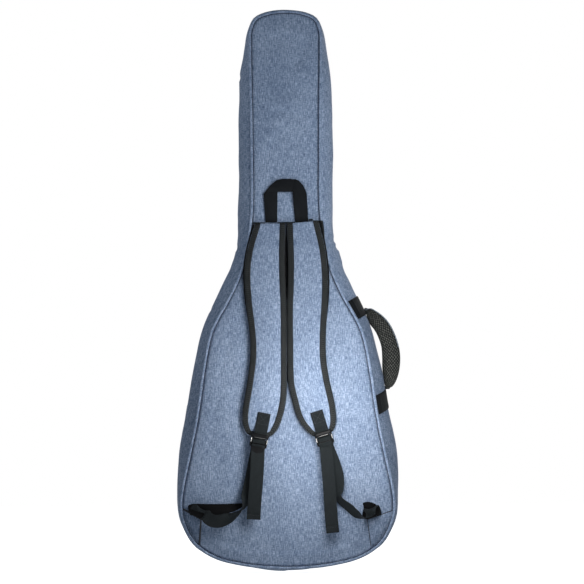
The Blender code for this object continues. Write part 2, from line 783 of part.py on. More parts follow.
def main_slider():
    """The main slider rests at the upper end of its chain, beside the lid's fabric hinge."""
    half = half_outline()
    start, after = half[HINGE_STATIONS[1]], half[HINGE_STATIONS[1] + 1]
    first, last = (s._replace(x=-s.x, nx=-s.nx) for s in (start, after))
    low, high = skin_point(first, ZIP_V, 0), skin_point(last, ZIP_V, 0)
    along = (high - low).normalized()
    out = (skin_point(first, ZIP_V, -0.01) - low).normalized()
    out = (out - along * out.dot(along)).normalized()
    place = low + along * 0.012 + out * 0.0022
    carriage = new_pivot("main_slider_travel", place, BASE)
    pull = new_pivot("main_pull_pivot", place + out * 0.0031, carriage)
    slider_and_pull("main", place, along, out, carriage, pull)


def pocket(lid):
    """A shallow patch pocket on the lid, closed by a straight zipper near its top."""
    front = BACK_Y + BODY_DEPTH
    rim = [s for s in whole_outline() if s.z < POCKET_TOP - 0.03]
    left = [s for s in rim if s.x < 0]
    right = [s for s in rim if s.x >= 0]
    top = station_at(POCKET_TOP)
    corner = (top.x - POCKET_INSET, POCKET_TOP)
    points = inset_outline(left, POCKET_INSET) + inset_outline(right, POCKET_INSET)
    points = [Vector(p) for p in [(-corner[0], corner[1]), *points, corner]]
    centre = Vector((0.0, 0.22))
    sections, panel = [], []
    for i, point in enumerate(points):
        along = (points[(i + 1) % len(points)] - points[i - 1]).normalized()
        inward_way = Vector((-along.y, along.x))
        if inward_way.dot(centre - point) < 0:
            inward_way.negate()
        wall = point + inward_way * COVER
        panel.append(point + inward_way * (COVER + 2 * GAP))
        low, high = front + GAP, front + POCKET_DEPTH
        sections.append([(point.x, low, point.y), (point.x, high, point.y),
                         (wall.x, high, wall.y), (wall.x, low, wall.y)])
    loft("pocket_gusset", sections, FABRIC, lid, cyclic=True)

    outer, inner = front + POCKET_DEPTH, front + POCKET_DEPTH - COVER
    zip_low, zip_high = POCKET_ZIP_HEIGHT - 0.009, POCKET_ZIP_HEIGHT + 0.009
    zip_reach = station_at(POCKET_ZIP_HEIGHT).x - POCKET_INSET - 0.006
    body = [p for p in panel if p.y < zip_low - 0.02]
    edge = station_at(zip_low).x - POCKET_INSET - 0.004
    body = [(-edge, zip_low)] + [tuple(p) for p in body] + [(edge, zip_low)]
    plate("pocket_panel", body, inner, outer, FABRIC, lid)
    header_x = station_at(POCKET_TOP).x - POCKET_INSET - 0.003
    header = [(-edge + 0.002, zip_high), (edge - 0.002, zip_high), (header_x, POCKET_TOP - 0.002),
              (-header_x, POCKET_TOP - 0.002)]
    plate("pocket_header", header, inner, outer, FABRIC, lid)
    block("pocket_zip_tape", (-zip_reach, inner, zip_low + GAP),
          (zip_reach, inner + 0.0007, zip_high - GAP), DARK_WEBBING, lid)
    block("pocket_zip_chain", (-zip_reach, inner + 0.0007 + GAP, POCKET_ZIP_HEIGHT - 0.0026),
          (zip_reach, outer + 0.0008, POCKET_ZIP_HEIGHT + 0.0026), NYLON, lid)
    place = Vector((-zip_reach + 0.014, outer + 0.0011, POCKET_ZIP_HEIGHT))
    carriage = new_pivot("pocket_slider_travel", place, lid)
    block("pocket_slider", place + Vector((-0.007, 0, -0.0045)),
          place + Vector((0.007, 0.0022, 0.0045)), STEEL, carriage, 0.0008)
    pivot = new_pivot("pocket_pull_pivot", place + Vector((0, 0.0031, 0)), carriage)
    block("pocket_pull", place + Vector((-0.003, 0.0025, -0.0320)),
          place + Vector((0.003, 0.0037, 0.0005)), STEEL, pivot, 0.0004)


# ---------------------------------------------------------------- the whole bag

clear_scene()
BAG = new_collection("gig_bag")
CUTTERS = new_collection("cutters")
BASE = new_pivot("bag_base", (0.0, GAP + LOOP_THICKNESS / 2 - BACK_Y, -HANG_HEIGHT))

lid_axis = new_pivot("lid_axis", (HINGE_AXIS_X, LID_AXIS_Y, 0.22), BASE)
back_panel()
front_panel(lid_axis)
gussets(lid_axis)
zipper(lid_axis)
piping(lid_axis)
inner_pads()
pocket(lid_axis)
main_slider()

for strap_side in ("left", "right"):
    seam_axis = new_pivot(f"strap_axis_{strap_side}", (0.0, STRAP_Y, STRAP_TOP), BASE)
    shoulder_strap(strap_side, seam_axis)
    ladder_lock(strap_side, seam_axis)
    tail_top = lock_frame(strap_side) @ Vector((0, -0.0022, -0.0086))
    tail_axis = new_pivot(f"tail_axis_{strap_side}", tail_top, seam_axis)
    lock_webbing(strap_side, seam_axis, tail_axis)
    corner_patch(f"corner_patch_{strap_side}", *PATCHES[strap_side])

top_seam()
loop_place = (0.0, BACK_Y - GAP - LOOP_THICKNESS, SEAM_STRIP[1] + 2 * GAP)
hang_loop(new_pivot("hang_loop_axis", loop_place, BASE))
handle_anchors()
foot_a, foot_b = HANDLE_FEET
handle(new_pivot("handle_axis", (foot_a[0], HANDLE_Y, foot_a[1]), BASE))
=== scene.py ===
"""Looks of the padded gig bag: smooth padded cloth, webbing, zippers, stitching and materials.

Shapes are drawn in bag coordinates, as in the CAD source: heights start at the bag's lowest point,
the back faces -Y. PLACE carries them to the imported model's frame. Sizes are in metres.
"""

import math
from collections import namedtuple

import bmesh
import bpy
import numpy as np
from mathutils import Matrix, Vector, noise
from mathutils.geometry import interpolate_bezier


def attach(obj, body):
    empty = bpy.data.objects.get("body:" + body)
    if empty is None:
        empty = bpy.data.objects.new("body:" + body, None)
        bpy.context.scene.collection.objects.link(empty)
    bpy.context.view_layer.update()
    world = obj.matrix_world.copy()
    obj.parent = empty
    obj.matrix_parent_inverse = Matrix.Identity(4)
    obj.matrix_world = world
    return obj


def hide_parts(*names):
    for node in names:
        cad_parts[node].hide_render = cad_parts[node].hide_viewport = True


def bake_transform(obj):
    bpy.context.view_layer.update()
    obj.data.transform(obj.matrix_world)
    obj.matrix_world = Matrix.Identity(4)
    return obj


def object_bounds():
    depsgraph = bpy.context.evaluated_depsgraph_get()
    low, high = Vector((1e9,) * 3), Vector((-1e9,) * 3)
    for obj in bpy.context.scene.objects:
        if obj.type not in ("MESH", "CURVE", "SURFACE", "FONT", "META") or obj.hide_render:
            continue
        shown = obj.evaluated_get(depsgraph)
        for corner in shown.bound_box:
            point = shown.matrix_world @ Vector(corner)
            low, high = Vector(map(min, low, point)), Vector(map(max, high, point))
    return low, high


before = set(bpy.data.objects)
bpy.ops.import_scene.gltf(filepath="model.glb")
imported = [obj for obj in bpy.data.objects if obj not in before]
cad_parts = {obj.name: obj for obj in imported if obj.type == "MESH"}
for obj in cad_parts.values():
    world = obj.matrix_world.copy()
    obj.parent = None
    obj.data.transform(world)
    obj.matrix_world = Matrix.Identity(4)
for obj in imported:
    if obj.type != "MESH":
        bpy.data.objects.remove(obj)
cad_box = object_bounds()

PLACE = Vector((0.0, 0.0663, -0.7380))

# ---------------------------------------------------------------- the bag's measures

BACK_Y = -0.065
BODY_DEPTH = 0.130
NECK_DEPTH = 0.100
TAPER = (0.43, 0.66)
SEAM = [
    (0.0000, 0.0097, 0.0097),
    (0.1160, 0.0230, 0.0062),
    (0.1730, 0.0510, 0.0060),
    (0.2010, 0.0960, 0.0065),
    (0.2066, 0.1410, 0.0080),
    (0.1900, 0.2280, 0.0210),
    (0.1746, 0.3036, 0.0230),
    (0.1597, 0.4045, 0.0200),
    (0.1445, 0.4705, 0.0190),
    (0.1067, 0.5420, 0.0240),
    (0.0873, 0.5870, 0.0220),
    (0.0737, 0.6450, 0.0195),
    (0.0666, 0.7100, 0.0240),
    (0.0664, 0.8100, 0.0250),
    (0.0673, 0.9170, 0.0225),
    (0.0687, 1.0137, 0.0110),
    (0.0670, 1.0525, 0.0058),
    (0.0524, 1.0767, 0.0050),
    (0.0000, 1.0874, 0.0050),
]
GAP = 0.0003
COVER = 0.0012
FOAM = 0.0080
LINING = 0.0008
PIPING_RADIUS = 0.0030
PANEL_INSET = 0.0035
PANEL_STACK = COVER + FOAM + GAP
ZIP_V = 0.5
TAPE_WIDTH = 0.0088
TEETH_WIDTH = 0.0024
TOOTH_PITCH = 0.0024
HINGE_HEIGHTS = (0.1590, 0.3080)

WEBBING = 0.025
WEBBING_THICKNESS = 0.0014
WEB_LAYER = 0.0020 + WEBBING_THICKNESS / 2   # from a lock bar's centre to its webbing's
STRAP_Y = BACK_Y - 0.0024
STRAP_THICKNESS = 0.012
STRAP_TOP = 0.6755
STRAP_EDGE_THICKNESS = 0.0085
BINDING_WIDTH = 0.0115
BINDING_THICKNESS = 0.0009
LOOP_FOOT = 0.6791
HANG_HEIGHT = 0.738

LEFT_INNER = [
    (-0.0008, 0.6770), (-0.0025, 0.6150), (-0.0019, 0.5650), (0.0001, 0.5150),
    (0.0002, 0.4600), (-0.0004, 0.3700), (-0.0022, 0.3347), (-0.0105, 0.2985),
    (-0.0217, 0.2726), (-0.0370, 0.2602),
]
LEFT_OUTER = [
    (-0.0610, 0.6770), (-0.0762, 0.6257), (-0.0815, 0.5820), (-0.0792, 0.5287),
    (-0.0720, 0.4650), (-0.0708, 0.4200), (-0.0776, 0.3663), (-0.0872, 0.3080),
    (-0.0850, 0.2790), (-0.0764, 0.2656),
]
RIGHT_INNER = [
    (0.0012, 0.6775), (0.0029, 0.6150), (0.0027, 0.5650), (0.0007, 0.5150),
    (0.0006, 0.4600), (0.0020, 0.3700), (0.0095, 0.3347), (0.0195, 0.2990),
    (0.0320, 0.2792), (0.0520, 0.2600),
]
RIGHT_OUTER = [
    (0.0630, 0.6825), (0.0757, 0.6257), (0.0805, 0.5700), (0.0790, 0.5200),
    (0.0753, 0.4600), (0.0757, 0.4150), (0.0817, 0.3735), (0.0925, 0.3240),
    (0.0948, 0.2860), (0.0883, 0.2706),
]
STRAP_EDGES = {"left": (LEFT_INNER, LEFT_OUTER), "right": (RIGHT_INNER, RIGHT_OUTER)}

LOCK_PLACES = {"left": ((-0.0547, 0.2570), 11.4), "right": ((0.0714, 0.2610), -16.3)}
LOCK_SIZE = (0.034, 0.0026, 0.028)
LOCK_Y = -0.0835
TAIL_ENDS = {"left": (-0.0660, 0.1048), "right": (0.0869, 0.0782)}
PATCHES = {"left": (-1, (0.1680, 0.1053), 0.1255), "right": (1, (0.1540, 0.1030), 0.1200)}
PATCH_FOOT = 0.0524

ANCHORS = {"upper": (0.4914, 0.5257), "lower": (0.3056, 0.3424)}
ANCHOR_REACH_V = -0.16
ANCHOR_SLANT = {"upper": (-0.0016, 0.0), "lower": (0.0, 0.0090)}
HANDLE_Y = -0.0040
GRIP_DEPTH = 0.0105
GRIP_INNER = [
    (0.1530, 0.5040), (0.1565, 0.4905), (0.1620, 0.4800), (0.1710, 0.4685), (0.1785, 0.4530),
    (0.1835, 0.4370), (0.1850, 0.4160), (0.1852, 0.3950), (0.1876, 0.3740), (0.1902, 0.3570),
]
GRIP_OUTER = [
    (0.1530, 0.5105), (0.1600, 0.5125), (0.1716, 0.5081), (0.1888, 0.4953), (0.2018, 0.4790),
    (0.2126, 0.4553), (0.2186, 0.4338), (0.2204, 0.4123), (0.2179, 0.3886), (0.2115, 0.3692),
    (0.2028, 0.3573), (0.1950, 0.3545),
]
HANDLE_FEET = ((0.1505, 0.5075), (0.1925, 0.3620))

POCKET_INSET = 0.016
POCKET_DEPTH = 0.018
POCKET_TOP = 0.428
POCKET_ZIP_HEIGHT = 0.398

CAMERA_ROLL = -0.3           # degrees: the bag leans a little in the photograph

# Where the stuffed gusset swells past its even section: side, height, spread, amount
SWELLS = [
    (-1, 0.965, 0.032, 0.0035),
    (-1, 0.690, 0.060, 0.0030),
    (-1, 0.024, 0.020, -0.0030),
    (1, 0.965, 0.035, 0.0020),
    (1, 0.607, 0.020, 0.0052),
    (1, 0.380, 0.030, 0.0022),
    (1, 0.240, 0.080, 0.0022),
    (1, 0.022, 0.022, -0.0045),
]

Station = namedtuple("Station", "x z nx nz bulge depth")


# ---------------------------------------------------------------- small maths

def smooth_step(value):
    value = min(1.0, max(0.0, value))
    return value * value * (3 - 2 * value)


def bell(value):
    return math.exp(-value * value)


def soft_power(value, power):
    """The value raised to a power with its sign kept, which squares a circle's corners."""
    return math.copysign(abs(value) ** power, value)


def spread_out(start, stop, parts):
    """Evenly spread values from start to stop, both included."""
    return [start + (stop - start) * k / parts for k in range(parts + 1)]


def smooth_line(points, steps):
    """Points along a smooth curve through the given points, which may have any dimension."""
    points = [Vector(point) for point in points]
    line = []
    for i in range(len(points) - 1):
        before = points[i - 1] if i else points[i] * 2 - points[i + 1]
        after = points[i + 2] if i + 2 < len(points) else points[i + 1] * 2 - points[i]
        reach = (points[i + 1] - points[i]).length
        lead = (points[i + 1] - before).normalized() * reach / 3
        trail = (after - points[i]).normalized() * reach / 3
        span = interpolate_bezier(
            points[i], points[i] + lead, points[i + 1] - trail, points[i + 1], steps + 1
        )
        line.extend(span[:-1])
    line.append(points[-1])
    return line


def plane_line(points, steps):
    return [p.xy for p in smooth_line([(*point, 0.0) for point in points], steps)]


def heading(line, i):
    """The way a line runs at one of its points."""
    return (line[min(i + 1, len(line) - 1)] - line[max(i - 1, 0)]).normalized()


def running_length(points, closed=False):
    lengths = [0.0]
    for a, b in zip(points, points[1:]):
        lengths.append(lengths[-1] + (b - a).length)
    if closed:
        lengths.append(lengths[-1] + (points[0] - points[-1]).length)
    return lengths


def segment_at(lengths, goal, j=0):
    """The segment where a length falls, looked for from segment j, and the share along it."""
    while j and lengths[j] > goal:
        j -= 1
    while j < len(lengths) - 2 and lengths[j + 1] < goal:
        j += 1
    return j, (goal - lengths[j]) / max(lengths[j + 1] - lengths[j], 1e-9)


def resampled(points, count):
    """Count points spread evenly along a line."""
    lengths = running_length(points)
    line, j = [], 0
    for k in range(count):
        j, share = segment_at(lengths, lengths[-1] * k / (count - 1), j)
        line.append(points[j].lerp(points[j + 1], share))
    return line


def ripple(place, size, seed=0.0):
    """Smooth seeded noise from -1 to 1 whose features have the given size."""
    return noise.noise(Vector(place) / size + Vector((seed, seed * 1.7, -seed)))


def paired(face, back):
    """Rings that run along each row of a face and home along the row behind it."""
    return [list(f) + list(reversed(b)) for f, b in zip(face, back)]


# ---------------------------------------------------------------- outline

def depth_at(height):
    share = smooth_step((height - TAPER[0]) / (TAPER[1] - TAPER[0]))
    return BODY_DEPTH + (NECK_DEPTH - BODY_DEPTH) * share


def half_outline(count):
    """Evenly spread stations up the +X half of the seam line."""
    ends = [(-SEAM[1][0], *SEAM[1][1:]), *SEAM, (-SEAM[-2][0], *SEAM[-2][1:])]
    fine = smooth_line(ends, 40)[40:-40]
    fine[0].x = fine[-1].x = 0.0
    line = resampled(fine, count + 1)
    stations = []
    for k, (x, z, bulge) in enumerate(line):
        low, high = line[max(k - 1, 0)], line[min(k + 1, count)]
        along = (high.xy - low.xy).normalized()
        if k in (0, count):
            along = Vector((1.0, 0.0)) if k == 0 else Vector((-1.0, 0.0))
        stations.append(Station(x, z, along.y, -along.x, bulge, depth_at(z)))
    return stations


def swollen(station, side):
    """The station with the swells of its side, which the seam line itself doesn't follow."""
    extra = sum(amount * bell((station.z - height) / spread)
                for where, height, spread, amount in SWELLS if where == side)
    return station._replace(bulge=station.bulge + extra)


def mirrored(station):
    return station._replace(x=-station.x, nx=-station.nx)


EVEN = half_outline(170)
HALF = [swollen(s, 1) for s in EVEN]
LEFT_HALF = [mirrored(swollen(s, -1)) for s in EVEN]
RING = HALF + list(reversed(LEFT_HALF[1:-1]))
RIM_POINTS = np.array([(s.x, s.z) for s in RING])


def between(first, second, share):
    return Station(*(a + (b - a) * share for a, b in zip(first, second)))


def station_at(height, side=1):
    """The station at a height, above the bag's widest part."""
    half = HALF if side > 0 else LEFT_HALF
    for low, high in zip(half, half[1:]):
        if low.z <= height <= high.z:
            return between(low, high, (height - low.z) / (high.z - low.z))
    raise ValueError(height)


def inset_point(station, inset):
    """The (x, z) at a distance inside the seam line."""
    return Vector((station.x - station.nx * inset, station.z - station.nz * inset))


def rim_distance(points):
    """How far inside the seam line each (x, z) lies."""
    points = np.asarray(points, float)
    closest = np.full(len(points), 1e9)
    rim = np.vstack([RIM_POINTS, RIM_POINTS[:1]])
    for a, b in zip(rim, rim[1:]):
        along = b - a
        share = np.clip(((points - a) @ along) / (along @ along), 0, 1)
        gap = np.linalg.norm(points - (a + share[:, None] * along), axis=1)
        closest = np.minimum(closest, gap)
    return closest


def skin_point(station, v, depth):
    """The point at a depth under the gusset's outside, at v from the back seam to the front."""
    half = station.depth / 2
    lean = 2 * station.bulge * v
    scale = math.hypot(half, lean)
    out = station.bulge * (1 - v * v) - depth * half / scale
    y = BACK_Y + half * (1 + v) - depth * lean / scale
    return Vector((station.x + station.nx * out, y, station.z + station.nz * out))


def past(station, end):
    """The v of an end given as (v, metres past it)."""
    return end[0] + 2 * end[1] / station.depth


def section(station, start, stop, depth, parts):
    """Points across the gusset at a depth, between two ends given as (v, metres past it)."""
    values = spread_out(past(station, start), past(station, stop), parts)
    return [skin_point(station, v, depth) for v in values]


# ---------------------------------------------------------------- meshes

class Shape:
    """Points, faces and cloth coordinates, in metres, gathered for one piece."""

    def __init__(self):
        self.points = []
        self.faces = []
        self.weave = []

    def grid(self, rows, across=None, ring=False, loop=False, capped=False):
        """Quads through rows of points; a ring closes each row, a loop closes the rows."""
        base, width, count = len(self.points), len(rows[0]), len(rows)
        for row in rows:
            self.points.extend(Vector(point) for point in row)
        u = across or running_length([Vector(p) for p in rows[count // 2]], ring)
        v = running_length([Vector(row[width // 2]) for row in rows], loop)
        for i in range(count if loop else count - 1):
            after = (i + 1) % count
            for j in range(width if ring else width - 1):
                k = (j + 1) % width
                self.faces.append((base + i * width + j, base + i * width + k,
                                   base + after * width + k, base + after * width + j))
                self.weave.append([(u[j], v[i]), (u[j + 1], v[i]),
                                   (u[j + 1], v[i + 1]), (u[j], v[i + 1])])
        if capped:
            for i in (0, count - 1):
                face = [base + i * width + j for j in range(width)]
                self.faces.append(face if i else face[::-1])
                corners = [(u[j], v[i]) for j in range(width)]
                self.weave.append(corners if i else corners[::-1])

    def flat_rings(self, rows, turn=0.0):
        """Rings joined up and capped, with the cloth laid flat on (x, z) and turned."""
        base, width, count = len(self.points), len(rows[0]), len(rows)
        spin = Matrix.Rotation(turn, 2)
        for row in rows:
            self.points.extend(row)
        faces = []
        for i in range(count - 1):
            for j in range(width):
                k = (j + 1) % width
                faces.append((base + i * width + j, base + i * width + k,
                              base + (i + 1) * width + k, base + (i + 1) * width + j))
        for i in (0, count - 1):
            faces.append(tuple(base + i * width + j for j in range(width)))
        for face in faces:
            self.faces.append(face)
            self.weave.append([tuple(spin @ self.points[corner].xz) for corner in face])

    def prism(self, outline, lift, thickness, turn=0.0):
        """A flat piece with softened edges; outline is (x, z), lift gives y under each point."""
        area = sum(a.x * b.y - b.x * a.y for a, b in zip(outline, outline[1:] + outline[:1]))
        inward_turn = 1 if area > 0 else -1
        count = len(outline)
        rows = []
        for inset, share in ((0.0, 0.00), (0.0, 0.72), (0.35 * thickness, 1.0)):
            row = []
            for i, place in enumerate(outline):
                along = (outline[(i + 1) % count] - outline[i - 1]).normalized()
                spot = place + Vector((-along.y, along.x)) * inward_turn * inset
                row.append(Vector((spot.x, lift(spot.x, spot.y) - thickness * share, spot.y)))
            rows.append(row)
        self.flat_rings(rows, turn)

    def make(self, name, material, slot):
        mesh = bpy.data.meshes.new(name)
        places = [tuple(point + PLACE) for point in self.points]
        mesh.from_pydata(places, [], self.faces)
        layer = mesh.uv_layers.new(name="weave")
        flat = [number for corners in self.weave for corner in corners for number in corner]
        layer.data.foreach_set("uv", flat)
        bm = bmesh.new()
        bm.from_mesh(mesh)
        bmesh.ops.recalc_face_normals(bm, faces=bm.faces)
        bm.to_mesh(mesh)
        bm.free()
        mesh.shade_smooth()
        mesh.materials.append(material)
        piece = bpy.data.objects.new(name, mesh)
        bpy.context.scene.collection.objects.link(piece)
        return piece


HALF_SECTION = [(-0.5, 0.0), (-0.494, 0.30), (-0.475, 0.46), (-0.44, 0.5), (-0.22, 0.5), (0.0, 0.5),
                (0.22, 0.5), (0.44, 0.5), (0.475, 0.46), (0.494, 0.30), (0.5, 0.0)]
WEB_SECTION = HALF_SECTION + [(s, -t) for s, t in reversed(HALF_SECTION[1:-1])]


def strip(shape, path, widths, thickness=WEBBING_THICKNESS):
    """Flat webbing along a path; each width is the full vector from edge to edge."""
    rows = []
    size = Vector(widths[0]).length
    for i, (place, width) in enumerate(zip(path, widths)):
        face = heading(path, i).cross(width).normalized()
        rows.append([place + width * s + face * (thickness * t) for s, t in WEB_SECTION])
    across = [s * size for s, _ in WEB_SECTION] + [WEB_SECTION[0][0] * size]
    shape.grid(rows, across=across, ring=True, capped=True)


def cord_tube(shape, path, normals, radius, sides=10, loop=False):
    """A round section along a path; the normals lie across the path."""
    rows = []
    last = len(path) - 1
    for i, place in enumerate(path):
        before = path[i - 1] if (i or loop) else path[0]
        after = path[(i + 1) % len(path)] if (i < last or loop) else path[last]
        along = (after - before).normalized()
        side = normals[i].normalized()
        up = along.cross(side).normalized()
        ring = []
        for k in range(sides):
            angle = 2 * math.pi * k / sides
            ring.append(place + (side * math.cos(angle) + up * math.sin(angle)) * radius)
        rows.append(ring)
    shape.grid(rows, ring=True, loop=loop, capped=not loop)


# One stitch: how far along it each ring lies, the ring's girth and its rise
STITCH_RINGS = [(-0.5, 0.35, 0.0), (-0.3, 0.9, 0.7), (0.0, 1.0, 1.0), (0.3, 0.9, 0.7),
                (0.5, 0.35, 0.0)]
STITCH_RADIUS = 0.00035
STITCH_LIFT = 0.0002
PENTAGON = (0.0, 1.26, 2.51, 3.77, 5.03)


def stitches(shape, path, normals, pitch=0.0036, length=0.0026):
    """A run of thread stitches lying on a surface along the path."""
    lengths = running_length(path)
    count = int(lengths[-1] / pitch)
    j = 0
    for k in range(count):
        middle = (k + 0.5) * lengths[-1] / count
        ends = []
        for goal in (middle - length / 2, middle, middle + length / 2):
            goal = min(max(goal, 0.0), lengths[-1])
            j, share = segment_at(lengths, goal, j)
            ends.append(path[j].lerp(path[j + 1], share))
        normal = normals[j].normalized()
        along = (ends[2] - ends[0]).normalized()
        side = along.cross(normal)
        rows = []
        for reach, girth, rise in STITCH_RINGS:
            lift = STITCH_LIFT + STITCH_RADIUS * 0.8 * rise
            centre = ends[1] + along * reach * length + normal * lift
            rows.append([
                centre + (side * math.cos(a) + normal * math.sin(a)) * STITCH_RADIUS * girth
                for a in PENTAGON])
        shape.grid(rows, ring=True, capped=True)


# ---------------------------------------------------------------- cloth simulation

CLOTH_FRAMES = 20
CLOTH_SETTINGS = {
    "quality": 6, "mass": 0.25, "tension_stiffness": 20, "compression_stiffness": 20,
    "shear_stiffness": 8, "bending_stiffness": 0.6, "vertex_group_mass": "held",
    "pin_stiffness": 1.0, "use_pressure": True,
}


def simulated(rows, held, pressure, cap, shrink=-0.012):
    """The rows after the cloth has been blown up against its held points, moved no
    further than the cap."""
    width = len(rows[0])
    faces = []
    for i in range(len(rows) - 1):
        for j in range(width - 1):
            a = i * width + j
            faces.append((a, a + 1, a + width + 1, a + width))
    points = [point for row in rows for point in row]
    mesh = bpy.data.meshes.new("cloth_trial")
    mesh.from_pydata([tuple(p) for p in points], [], faces)
    trial = bpy.data.objects.new("cloth_trial", mesh)
    bpy.context.scene.collection.objects.link(trial)
    group = trial.vertex_groups.new(name="held")
    for index, weight in enumerate(held):
        if weight > 0:
            group.add([index], weight, "REPLACE")
    cloth = trial.modifiers.new("cloth", "CLOTH").settings
    for key, value in CLOTH_SETTINGS.items():
        setattr(cloth, key, value)
    cloth.shrink_min = shrink
    cloth.shrink_max = shrink
    cloth.uniform_pressure_force = pressure
    cloth.effector_weights.gravity = 0.0
    trial.modifiers["cloth"].collision_settings.use_collision = False
    scene = bpy.context.scene
    for number in range(1, CLOTH_FRAMES + 1):
        scene.frame_set(number)
    settled = trial.evaluated_get(bpy.context.evaluated_depsgraph_get())
    result = []
    for start, vert in zip(points, settled.to_mesh().vertices):
        shift = Vector(vert.co) - start
        if shift.length > cap:
            shift = shift.normalized() * cap
        result.append(start + shift)
    settled.to_mesh_clear()
    bpy.data.objects.remove(trial, do_unlink=True)
    bpy.data.meshes.remove(mesh)
    scene.frame_set(1)
    return [result[i * width:(i + 1) * width] for i in range(len(rows))]


# ---------------------------------------------------------------- materials

def node(tree, kind, inputs=None, **properties):
    made = tree.nodes.new(kind)
    for key, value in properties.items():
        setattr(made, key, value)
    for key, value in (inputs or {}).items():
        socket = made.inputs[key]
        if isinstance(value, bpy.types.NodeSocket):
            tree.links.new(value, socket)
        else:
            socket.default_value = value
    return made


def ramp(tree, factor, stops):
    made = node(tree, "ShaderNodeValToRGB", {"Fac": factor})
    elements = made.color_ramp.elements
    while len(elements) < len(stops):
        elements.new(0.5)
    for element, (place, colour) in zip(elements, stops):
        element.position = place
        element.color = (*colour, 1.0)
    return made.outputs["Color"]


SOCKETS = {"roughness": "Roughness", "metallic": "Metallic", "sheen": "Sheen Weight",
           "sheen_roughness": "Sheen Roughness", "specular": "Specular IOR Level"}


def new_material(name, **constants):
    """A material, its tree and its shader, with the constants set on the shader's sockets."""
    material = bpy.data.materials.new(name)
    material.use_nodes = True
    tree = material.node_tree
    shader = tree.nodes["Principled BSDF"]
    for key, value in constants.items():
        shader.inputs[SOCKETS[key]].default_value = value
    return material, tree, shader


def cloth_source(tree):
    return node(tree, "ShaderNodeUVMap", uv_map="weave").outputs["UV"]


def solid_source(tree):
    return node(tree, "ShaderNodeTexCoord").outputs["Object"]


def streaks(tree, source, scale, detail=3.0, roughness=0.6):
    spread = node(tree, "ShaderNodeMapping", {"Vector": source, "Scale": scale})
    made = node(tree, "ShaderNodeTexNoise",
                {"Vector": spread.outputs["Vector"], "Scale": 1.0, "Detail": detail,
                 "Roughness": roughness, "Distortion": 0.0})
    return made.outputs["Fac"]


def maths(tree, operation, *values):
    made = node(tree, "ShaderNodeMath", dict(enumerate(values)), operation=operation)
    return made.outputs[0]


def weighted(tree, *parts, base=0.0):
    """The sum of outputs times their weights, on top of a base."""
    for output, weight in parts:
        base = maths(tree, "MULTIPLY_ADD", output, weight, base)
    return base


def weave_height(tree, source, pitch):
    """Threads over and under each other, as a height from 0 to 1."""
    split = node(tree, "ShaderNodeSeparateXYZ", {"Vector": source})
    warp, weft = (
        maths(tree, "ABSOLUTE", maths(tree, "SINE", maths(
            tree, "MULTIPLY", split.outputs[axis], math.pi / pitch)))
        for axis in ("X", "Y"))
    return maths(tree, "MULTIPLY", warp, weft)


def dress(tree, shader, colour, gloss, height, depth, strength=0.8):
    """Links a colour, a roughness and a relief to the shader."""
    relief = node(tree, "ShaderNodeBump",
                  {"Height": height, "Distance": depth, "Strength": strength})
    tree.links.new(colour, shader.inputs["Base Color"])
    tree.links.new(gloss, shader.inputs["Roughness"])
    tree.links.new(relief.outputs["Normal"], shader.inputs["Normal"])


def heather_fabric():
    """Coated polyester in two shades of blue-grey yarn, with vertical slubs."""
    material, tree, shader = new_material(
        "heather_fabric", sheen=0.05, sheen_roughness=0.5, specular=0.15)
    source = cloth_source(tree)
    slubs = streaks(tree, source, (660.0, 66.0, 1.0), roughness=0.55)
    threads = streaks(tree, source, (1150.0, 160.0, 1.0), roughness=0.55)
    weft = streaks(tree, source, (125.0, 900.0, 1.0), roughness=0.55)
    tone = streaks(tree, source, (14.0, 9.0, 1.0), roughness=0.5)
    blend = weighted(tree, (slubs, 0.32), (threads, 0.31), (weft, 0.28), (tone, 0.09))
    colour = ramp(tree, blend, [
        (0.41, (0.105, 0.155, 0.255)),
        (0.50, (0.250, 0.332, 0.482)),
        (0.59, (0.500, 0.595, 0.760)),
    ])
    height = weighted(tree, (weave_height(tree, source, 0.00085), 0.5), (slubs, 0.9))
    dress(tree, shader, colour, weighted(tree, (slubs, 0.25), base=0.68), height, 0.00035)
    return material


def webbing_material(name, dark, light, rib):
    """Woven polypropylene with ribs across its length and a fine herringbone."""
    material, tree, shader = new_material(
        name, sheen=0.01, sheen_roughness=0.5, specular=0.12)
    source = cloth_source(tree)
    split = node(tree, "ShaderNodeSeparateXYZ", {"Vector": source})
    zigzag = maths(tree, "PINGPONG", split.outputs["X"], 0.0032)
    slant = weighted(tree, (zigzag, 0.7), base=split.outputs["Y"])
    wave = maths(tree, "SINE", maths(tree, "MULTIPLY", slant, 2 * math.pi / rib))
    ribs = weighted(tree, (wave, 0.5), base=0.5)
    fibres = streaks(tree, source, (1500.0, 260.0, 1.0), detail=2.0)
    wear = streaks(tree, source, (90.0, 35.0, 1.0), detail=4.0)
    blend = weighted(tree, (ribs, 0.35), (fibres, 0.35), (wear, 0.30))
    dress(tree, shader, ramp(tree, blend, [(0.25, dark), (0.75, light)]),
          weighted(tree, (fibres, 0.3), base=0.56), weighted(tree, (fibres, 0.5), base=ribs),
          0.0003)
    return material


